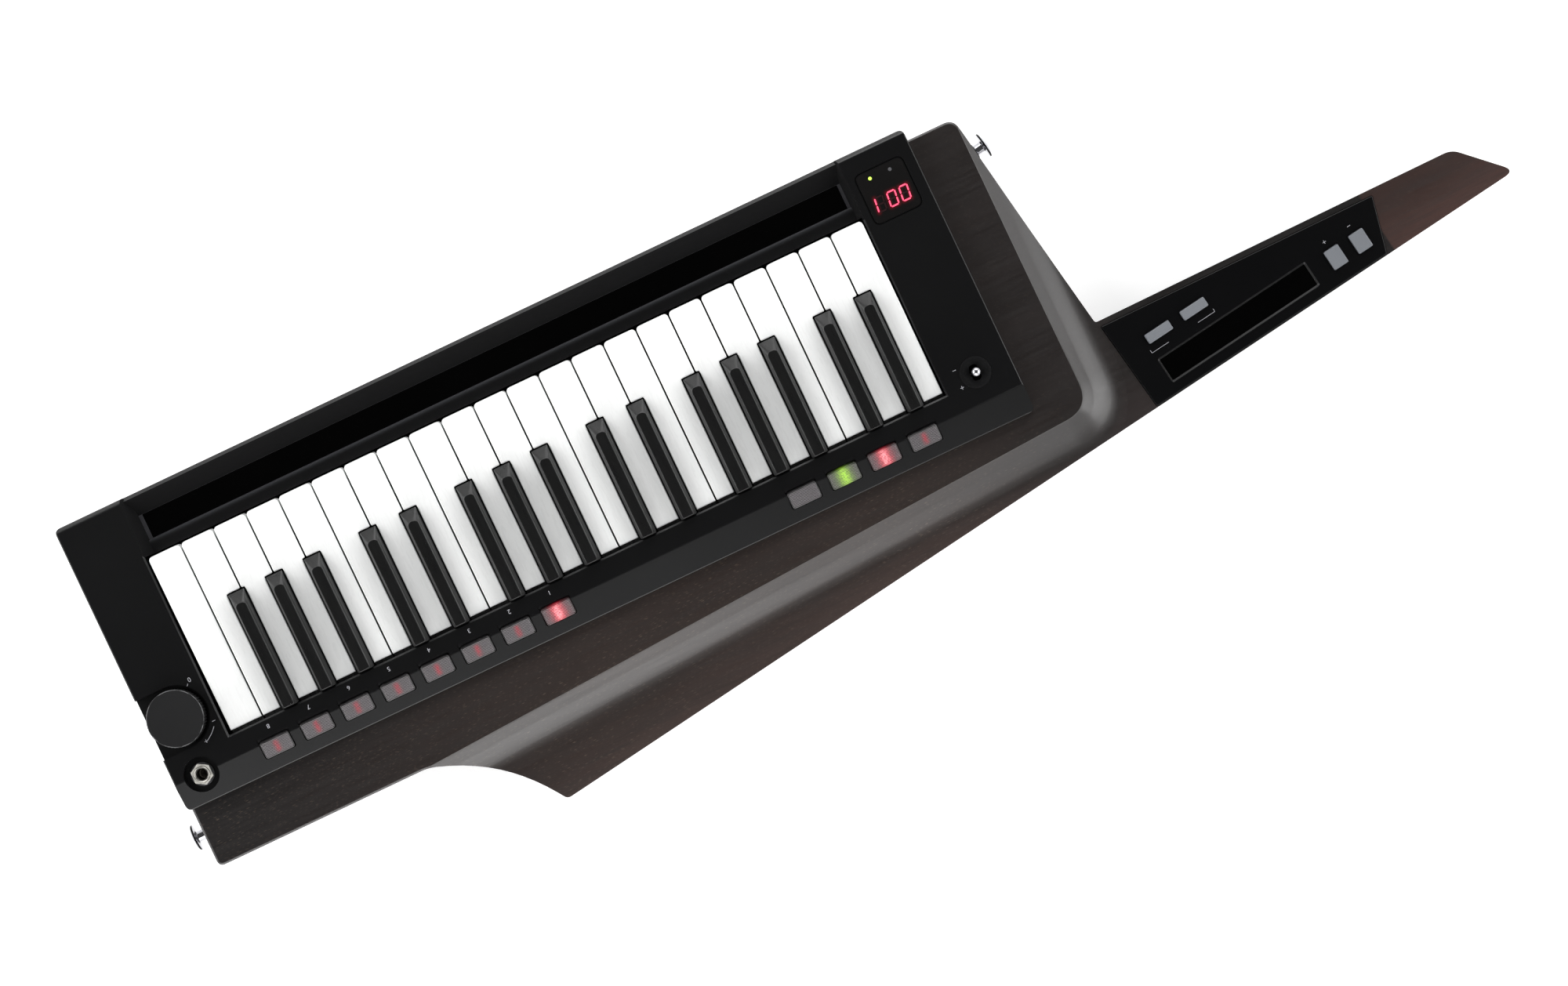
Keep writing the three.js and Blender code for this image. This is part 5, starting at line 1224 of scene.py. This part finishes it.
class KEYTAR_OT_display(bpy.types.Operator):
    """Build the display window, its digits and lamps"""

    bl_idname = "keytar.display"
    bl_label = "Display"

    def execute(self, context):
        x0, x1, y0, y1 = DISPLAY
        x, y, _ = rounded_grid(x1 - x0 - 2, y1 - y0 - 2, 2.6, 120, 120)
        grid = np.stack([x + (x0 + x1) / 2, y + (y0 + y1) / 2, np.full(x.shape, 50.08)], -1)
        window = relief(grid, 49.9)
        piece("display_window", window, "display_glass", "black_case", halo=halo(window[0]))
        piece("display_lit_segments", segments(True), "lit_segment", "lamp_cap")
        # the unlit segments, with a faint painted glow
        piece("display_faint_segments", segments(False), "faint_segment", "lamp_cap")
        dot = turned([(1.0, 50.05), (1.0, 50.1), (0.8, 50.2), (0.3, 50.24)], 24)
        # the green dot is a lit lamp; the grey one is unlit and gets a faint painted glow
        for name, x in (("green", 454.1), ("grey", 466.3)):
            piece(f"display_{name}_dot", moved(dot, (x, 156.2, 0)), name + "_dot", "lamp_cap")
        return {"FINISHED"}


def plate(x0, x1, y0, y1, z0, z1, corner):
    return layered(rect(x0, x1, y0, y1, corner), [(z0, 0), (z1 - 0.02, 0), (z1, -0.02)], 4)


class KEYTAR_OT_films(bpy.types.Operator):
    """Build the two touch strip films"""

    bl_idname = "keytar.films"
    bl_label = "Touch films"

    def execute(self, context):
        body = plate(6.5, 436.1, 147.0, 161.4, STRIP_TOP - 0.1, STRIP_TOP + 0.08, 0.4)
        piece("body_touch_film", both(body), "touch_film", "black_case")
        neck = on_neck(plate(*NECK_STRIP, PANEL_TOP - 1.15, PANEL_TOP - 1.02, 0.5))
        piece("neck_touch_film", neck, "touch_film", "black_panel")
        return {"FINISHED"}


def printed(text, x, y, height):
    """A printed figure as a thin solid on the case, centred on a place."""
    curve = bpy.data.curves.new("figure", "FONT")
    curve.body = text
    curve.size = 1
    curve.extrude = 0.01
    curve.resolution_u = 4
    holder = added("figure", curve)
    mesh = evaluated_mesh(holder)
    points = read(mesh.vertices, "co", 3)
    faces = [list(face.vertices) for face in mesh.polygons]
    bpy.data.objects.remove(holder)
    bpy.data.curves.remove(curve)
    bpy.data.meshes.remove(mesh)
    middle = (points.min(0) + points.max(0)) / 2
    scale = height / np.ptp(points[:, 1])
    points = (points - middle) * [scale, scale, 1]
    return moved(rotated((points, faces), 2, 180), (x, y, CASE_TOP + 0.02))


def line(x0, y0, x1, y1, z=CASE_TOP, thick=0.3):
    along = np.array([x1 - x0, y1 - y0], float)
    across = np.array([-along[1], along[0]]) / np.linalg.norm(along) * thick / 2
    a, b = np.array([x0, y0]), np.array([x1, y1])
    flat = np.array([a - across, b - across, b + across, a + across])
    return loft([at_height(flat, z), at_height(flat, z + 0.03)])


def minus(x, y, z=CASE_TOP):
    return line(x - 1, y, x + 1, y, z)


def plus(x, y, z=CASE_TOP):
    return both(minus(x, y, z), line(x, y - 1, x, y + 1, z))


class KEYTAR_OT_prints(bpy.types.Operator):
    """Build the printed numbers and marks"""

    bl_idname = "keytar.prints"
    bl_label = "Prints"

    def execute(self, context):
        height = context.scene.keytar_sizes.print_height / MM
        marks = [printed(str(8 - i), 20.7 + i * BUTTON_PITCH, 24.2, height) for i in range(8)]
        marks.append(printed("0", -8.0, 66.4, 2.6))
        marks += [minus(-5.5, 39.9), plus(-14.0, 31.4), minus(450.6, 39.4), plus(450.6, 28.9)]
        arc = np.radians(np.linspace(-38, -62, 9))
        bow = np.column_stack([KNOB_X + 21.0 * np.cos(arc), KNOB_Y + 21.0 * np.sin(arc)])
        marks += [line(*a, *b) for a, b in zip(bow[:-1], bow[1:])]
        marks.append(line(-10.6, 63.6, -9.6, 64.7))
        piece("case_prints", both(*marks), "print_ink", "black_case", weigh=False)
        z = PANEL_TOP
        neck = [plus(129.8, 25.7, z), minus(146.2, 25.6, z)]
        for x0, x1, y1 in (14.7, 26, 27.2), (45.7, 57, 27.2), (14.7, 14.7, 29), (57, 57, 29):
            neck.append(line(x0, 27.2, x1, y1, z, 0.22))
        piece("panel_prints", on_neck(both(*neck)), "print_ink", "black_panel", weigh=False)
        return {"FINISHED"}


# Case, panel and cover


def trough_hollow(thickness):
    """The hollow of the front rail, or what lies inside its floor: the band, the strip's
    bed and a quarter cosine up to the lip, carried along X and cut to its slanted ends."""
    share = np.linspace(0, 1, 13)
    floor = STRIP_TOP - thickness
    band = BAND_TOP if thickness == 0 else floor
    rise = (LIP_TOP - STRIP_TOP) * (1 - np.cos(share * math.pi / 2))
    curve = np.column_stack([STRIP_END + (RIDGE_Y - STRIP_END) * share, floor + rise])
    side = [(OPENING_FRONT - 2, band), (STRIP_START, band), (STRIP_START + 0.5, floor)]
    side += [*curve[:-1].tolist(), (*curve[-1].tolist(), 0.4)]
    side += [(CASE_FRONT + 2, LIP_TOP - thickness - 4.3 * 2.2 / 2.3)]
    side += [(CASE_FRONT + 2, CASE_TOP + 2), (OPENING_FRONT - 2, CASE_TOP + 2)]
    tail, head = OPENING_TAIL - thickness, OPENING_HEAD + thickness + 1
    low, high = (tail + 5.5, head - 3.7), CASE_TOP + 2
    ends = [
        (tail, CASE_TOP), (low[0], STRIP_TOP), (low[0], floor - 2), (low[1], floor - 2),
        (low[1], STRIP_TOP), (head, CASE_TOP), (head, high), (tail, high),
    ]
    along = bar_x(side, CASE_TAIL, CASE_HEAD)
    return carved(along, ("INTERSECT", bar_y(ends, OPENING_REAR, CASE_FRONT + 2.5)))


def lamp_hole(x, margin=0.55):
    """The hole for a lamp cap, square to the facet, and the scoop towards the keys."""
    half, reach = BUTTON_LENGTH / 2 + margin, BUTTON_WIDTH / 2 + margin
    hole = block(-half, half, -reach, reach, -5.2, 2.6, BUTTON_CORNER + margin, 8)
    y0 = BUTTON_Y + BUTTON_WIDTH / 2
    y1, z0 = y0 + 2.9, CASE_TOP - 2.9 * math.tan(math.radians(FACET_TILT))
    side = [(y0, z0), (y1, CASE_TOP), (y1, CASE_TOP + 2), (y0, CASE_TOP + 2)]
    return carved(on_facet(hole, x), ("UNION", bar_x(side, x - half, x + half)))


def lever_seat():
    """Two bodies: the raised ring round the lever, and the funnel and slot in it."""
    brow = through([(9, 50.0), (8.85, 50.45), (8.3, 50.8), (7.5, 51.0), (6.8, 50.95)], 5)
    ring = [(9, CASE_TOP - CASE_ROOF), *brow.tolist(), (0.3, 50.95)]
    bowl = [(2.8, 47.2), (3.6, 47.75), (4.6, 48.7), (5.6, 49.9), (6.3, 50.6), (6.9, 50.95)]
    funnel = [(2.8, 46.8), *through(bowl, 5).tolist(), (7.1, 51.05), (7.1, 53.2)]
    slot = block(-2.5, 2.5, -4.6, 4.6, 45.4, 53.2, 2.4, 12)
    hollow = carved(turned(funnel, 72), ("UNION", slot))
    return [moved(skin, (LEVER_X, LEVER_Y, 0)) for skin in (turned(ring, 72), hollow)]


def knob_room(reach, low, high, more=0.0):
    """The round well of the knob, open to the tail side."""
    y0, y1 = KNOB_Y - reach, KNOB_Y + reach
    return (
        post(KNOB_X, KNOB_Y, reach, low, high, 96),
        ("UNION", block(CASE_TAIL + more, KNOB_X, y0, y1, low, high)),
    )


def case_shell():
    """The moulding without its openings: a box with a rounded top edge, hollowed from
    below, with the skirts round the keys and the seats of the knob, jack and lever."""
    under, high = CASE_TOP - CASE_ROOF, CASE_TOP - 1
    plan = rect(CASE_TAIL, CASE_HEAD, 0, CASE_FRONT, CASE_CORNER)
    outer = layered(plan, [(CASE_SEAT, 0), *rounded_top(CASE_TOP, 0.9, 4)], 8)
    skirt = block(CASE_TAIL + 4, CASE_HEAD - 4, CASE_FRONT - 2.5, CASE_FRONT, 36, 41.3)
    tilt, front = math.radians(FACET_TILT), CASE_FRONT - CASE_WALL
    facet_under = facet_height(CASE_WALL) - CASE_ROOF / math.cos(tilt)
    side = [(CASE_WALL, 34), (front, 34), (front, under)]
    side += [(FACET_DEPTH + CASE_ROOF * math.tan(tilt / 2), under), (CASE_WALL, facet_under)]
    inside = bar_x(side, CASE_TAIL + CASE_WALL, CASE_HEAD - CASE_WALL)
    walls = [block(-3.5, 442.9, 138.7, 140.9, 33, BAND_TOP)]
    walls += [block(x, x + 2.2, 31.1, 140.9, 34, under + 1) for x in (-3.5, OPENING_HEAD)]
    cup = carved(
        *knob_room(KNOB_WELL + 1.5, 41.3, high, 1),
        ("UNION", post(KNOB_X, KNOB_Y, 6, 35.3, 42.3)),
        ("INTERSECT", carved(outer, ("UNION", inside))),
    )
    y0, y1 = LEVER_Y - 3.5, LEVER_Y + 3.5
    ear = [(y0, 39.8, 2), (y1, 39.8, 2), (y1, 48.4), (y0, 48.4)]
    pin = rotated(turned([(1.8, -9), (1.8, 9)], 32), 1, 90)
    bore = "DIFFERENCE", moved(pin, (LEVER_X, LEVER_Y, CASE_TOP - 7))
    ears = [carved(bar_x(ear, x, x + 2), bore) for x in (LEVER_X - 5.6, LEVER_X + 3.6)]
    seats = [*walls, cup, post(JACK_X, JACK_Y, 11.5, 42.4, high, 72), *ears]
    seats += [post(x, y, 4, 10.3, under + 1, 32) for x, y in SCREWS]
    section = [
        (0, 5), (CASE_FRONT, 5), (CASE_FRONT, CASE_TOP - 2.2, 0.8), (RIDGE_Y, CASE_TOP, 0.8),
        (FACET_DEPTH, CASE_TOP, 0.7), (0, facet_height(0), 0.7),
    ]
    return carved(
        outer,
        ("UNION", skirt),
        ("DIFFERENCE", carved(inside, ("DIFFERENCE", trough_hollow(2.2)))),
        ("UNION", *seats),
        ("INTERSECT", bar_x(section, -45, 490, 5)),
    )


def shade(made):
    """Gives the slanted ends of the trough, its climb to the lip and the lever's ring
    their shaded finish: faces whose middle lies there, above the inside of the case."""
    made.data.materials.append(finish("shaded_case"))
    x, y, z = (read(made.data.polygons, "center", 3) / MM - SHIFT).T
    ends = ((x < OPENING_TAIL + 5.6) | (x > OPENING_HEAD - 3)) & (y < RIDGE_Y)
    inside = (x > OPENING_TAIL - 0.5) & (x < OPENING_HEAD + 1.5) & (z > 40.1)
    inside &= (z < CASE_TOP - 0.3) & (y > OPENING_FRONT) & (y < CASE_FRONT - 1.3)
    inside &= ends | (y > STRIP_END + 0.1)
    ring = (np.hypot(x - LEVER_X, y - LEVER_Y) < 9.2) & (z > 46)
    made.data.polygons.foreach_set("material_index", (inside | ring).astype(np.int32))


class KEYTAR_OT_case(bpy.types.Operator):
    """Finish the moulded top case"""

    bl_idname = "keytar.case"
    bl_label = "Top case"

    def execute(self, context):
        ring, funnel = lever_seat()
        opening = rect(OPENING_TAIL, OPENING_HEAD, OPENING_REAR, OPENING_FRONT)
        window = rect(*DISPLAY, 4.5)
        island = prism(offset(window, -0.75), 48, 53, 10)
        cuts = [
            trough_hollow(0),
            layered(opening, [(31, 0), (49, 0), (52, 3)]),
            carved(*knob_room(KNOB_WELL, KNOB_WELL_FLOOR, 52, -2.3)),
            post(KNOB_X, KNOB_Y, 3.3, 33, CASE_TOP, 32),
            post(JACK_X, JACK_Y, JACK_WELL, JACK_WELL_FLOOR, 52, 96),
            post(JACK_X, JACK_Y, 4.7, 40, CASE_TOP, 48),
            funnel,
            carved(prism(window, 48.6, 52, 10), ("DIFFERENCE", island)),
            *(post(x, y, 1.4, 8, 28, 24) for x, y in SCREWS),
            *(lamp_hole(x) for _, x, _ in lamp_rows()),
        ]
        case = carved(case_shell(), ("UNION", ring), ("DIFFERENCE", *cuts))
        look = "black_case"
        shade(piece("case_shell", case, look, look, 26, stands_for="top_case", flat=True))
        return {"FINISHED"}


class KEYTAR_OT_panel(bpy.types.Operator):
    """Finish the neck's plate, with a sloping rim round the touch strip and its holes"""

    bl_idname = "keytar.panel"
    bl_label = "Neck panel"

    def execute(self, context):
        plan = rect(*NECK_STRIP, 0.4)
        bed = layered(plan, [(PANEL_TOP - 1.15, 0), (PANEL_TOP - 1.0, 0), (PANEL_TOP + 1, 2.2)])
        cuts = [bed]
        for x, y, length, width in NECK_BUTTONS.values():
            half, reach = length / 2 + 0.45, width / 2 + 0.45
            cuts.append(block(x - half, x + half, y - reach, y + reach, 20, 30, 1))
        panel = layered(PANEL, [(PANEL_UNDER, 0), *rounded_top(PANEL_TOP, 0.45, 4)])
        panel, look = on_neck(carved(panel, ("DIFFERENCE", *cuts))), "black_panel"
        piece("panel_plate", panel, look, look, 26, stands_for="neck_panel", flat=True)
        return {"FINISHED"}


class KEYTAR_OT_cover(bpy.types.Operator):
    """Finish the back cover and build its screws, their faces towards the floor"""

    bl_idname = "keytar.cover"
    bl_label = "Back cover"

    def execute(self, context):
        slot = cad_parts["lower_case"].material_slots[0]
        slot.link = "OBJECT"
        slot.material = finish("cover_plastic")
        profile = [(0.3, 0.9), (1.2, 0.75), (2.4, 0.7), (2.75, 0.85), (2.8, 1.2)]
        head = turned([*profile, (2.8, 2.1), (0.3, 2.1)], 40)
        head = carved(head, ("DIFFERENCE", *cross(1.5, 0.3, 0, 1.5)))
        for i, (x, y) in enumerate(SCREWS, 1):
            screw = moved(head, (x, y, 0))
            piece(f"cover_screw_{i}", screw, "screw_metal", "chrome_metal", 40)
        return {"FINISHED"}


# Studio


def white_surface(name, tone, own_light):
    """A pale matt surface that adds a little plain light of its own only where it is
    seen by the camera, in gloss or through glass, and keeps every shadow."""
    f = Finish(name)
    f.tree.nodes.remove(f.shader)
    matt = {"Color": f.spread(f.noise(3, 2), tone - 0.01, tone + 0.01)}
    kinds = "Camera", "Glossy", "Transmission"
    camera, gloss, glass = (f.node("LightPath", output=f"Is {kind} Ray") for kind in kinds)
    seen = f.sum("MAXIMUM", camera, f.sum("MAXIMUM", glass, gloss))
    light = {"Strength": f.times(seen, own_light)}
    light = f.node("AddShader", {0: f.node("BsdfDiffuse", matt), 1: f.node("Emission", light)})
    f.tree.links.new(light, f.tree.nodes["Material Output"].inputs["Surface"])
    return f.material


def soft_box(name, where, power):
    """A large lamp that shines at the middle of the part."""
    lamp = bpy.data.lights.new(name, "AREA")
    lamp.shape = "RECTANGLE"
    lamp.size, lamp.size_y = 2.6, 2.0
    lamp.energy = power
    made = added(name, lamp)
    made.location = where
    made.visible_camera = False
    x, y, z = -where
    tilt, turn = math.atan2(math.hypot(x, y), -z), math.atan2(x, -y) + math.pi
    made.rotation_euler = (tilt, 0, turn)


class KEYTAR_OT_stage(bpy.types.Operator):
    """Build the floor, the lamps and the camera"""

    bl_idname = "keytar.stage"
    bl_label = "Studio"

    def execute(self, context):
        scene, turn = context.scene, math.radians(-25.37)
        scene.view_settings.view_transform = "Standard"
        camera = added("camera", bpy.data.cameras.new("camera"))
        camera.data.lens = 96.9
        camera.data.sensor_width = 36
        camera.data.sensor_fit = "HORIZONTAL"
        camera.data.clip_end = 50
        camera.location = (-30.86 * MM, -26.19 * MM, 2.4)
        camera.rotation_euler = (0, 0, turn)
        scene.camera = camera

        profile = [(0.01, 0.0), (1.5, 0.0), (3.0, 0.0)]
        for rise in np.linspace(0, math.pi / 2, 13):
            profile.append((3.6 + 1.2 * math.sin(rise), 1.2 - 1.2 * math.cos(rise)))
        points, faces = turned([*profile, (4.8, 2.6)], 96)
        mesh = bpy.data.meshes.new("floor")
        mesh.from_pydata(points - [0, 0, 0.0002], [], [face[::-1] for face in faces[:-1]])
        mesh.materials.append(white_surface("floor_white", 0.86, 0.5))
        mesh.shade_smooth()
        added("floor", mesh)

        scene.world = bpy.data.worlds.new("studio")
        scene.world.use_nodes = True
        sky = scene.world.node_tree.nodes["Background"].inputs
        sky["Color"].default_value = (1, 1, 1, 1)
        sky["Strength"].default_value = 0.07

        right = 2.4 * np.array([math.cos(turn), math.sin(turn), 0])
        up = 2.4 * np.array([-math.sin(turn), math.cos(turn), 0])
        for name, way in (("left", -right), ("right", right), ("top", up), ("bottom", -up)):
            soft_box(name + "_box", way + [0, 0, 1.25], 52)
        return {"FINISHED"}


# The panel and the run

OPERATORS = [
    KEYTAR_OT_stage, KEYTAR_OT_wood, KEYTAR_OT_case, KEYTAR_OT_white_keys,
    KEYTAR_OT_black_keys, KEYTAR_OT_lamp_buttons, KEYTAR_OT_knob, KEYTAR_OT_jack,
    KEYTAR_OT_lever, KEYTAR_OT_panel, KEYTAR_OT_neck_buttons, KEYTAR_OT_films,
    KEYTAR_OT_display, KEYTAR_OT_prints, KEYTAR_OT_cover,
]


class KEYTAR_PT_panel(bpy.types.Panel):
    """Lists the settings and the building steps."""

    bl_label = "Keytar"
    bl_space_type = "VIEW_3D"
    bl_region_type = "UI"
    bl_category = "Keytar"

    def draw(self, context):
        for settings in (context.scene.keytar_sizes, context.scene.keytar_colours):
            box = self.layout.box()
            for name in settings.__annotations__:
                box.prop(settings, name)
        for operator in OPERATORS:
            self.layout.operator(operator.bl_idname)


CLASSES = [KeytarSizes, KeytarColours, *OPERATORS, KEYTAR_PT_panel]


def register():
    for made in CLASSES:
        bpy.utils.register_class(made)
    bpy.types.Scene.keytar_sizes = PointerProperty(type=KeytarSizes)
    bpy.types.Scene.keytar_colours = PointerProperty(type=KeytarColours)


def unregister():
    del bpy.types.Scene.keytar_colours
    del bpy.types.Scene.keytar_sizes
    for made in reversed(CLASSES):
        bpy.utils.unregister_class(made)


def main():
    register()
    for operator in OPERATORS:
        getattr(bpy.ops.keytar, operator.bl_idname.split(".")[1])()


if __name__ == "__main__":
    main()
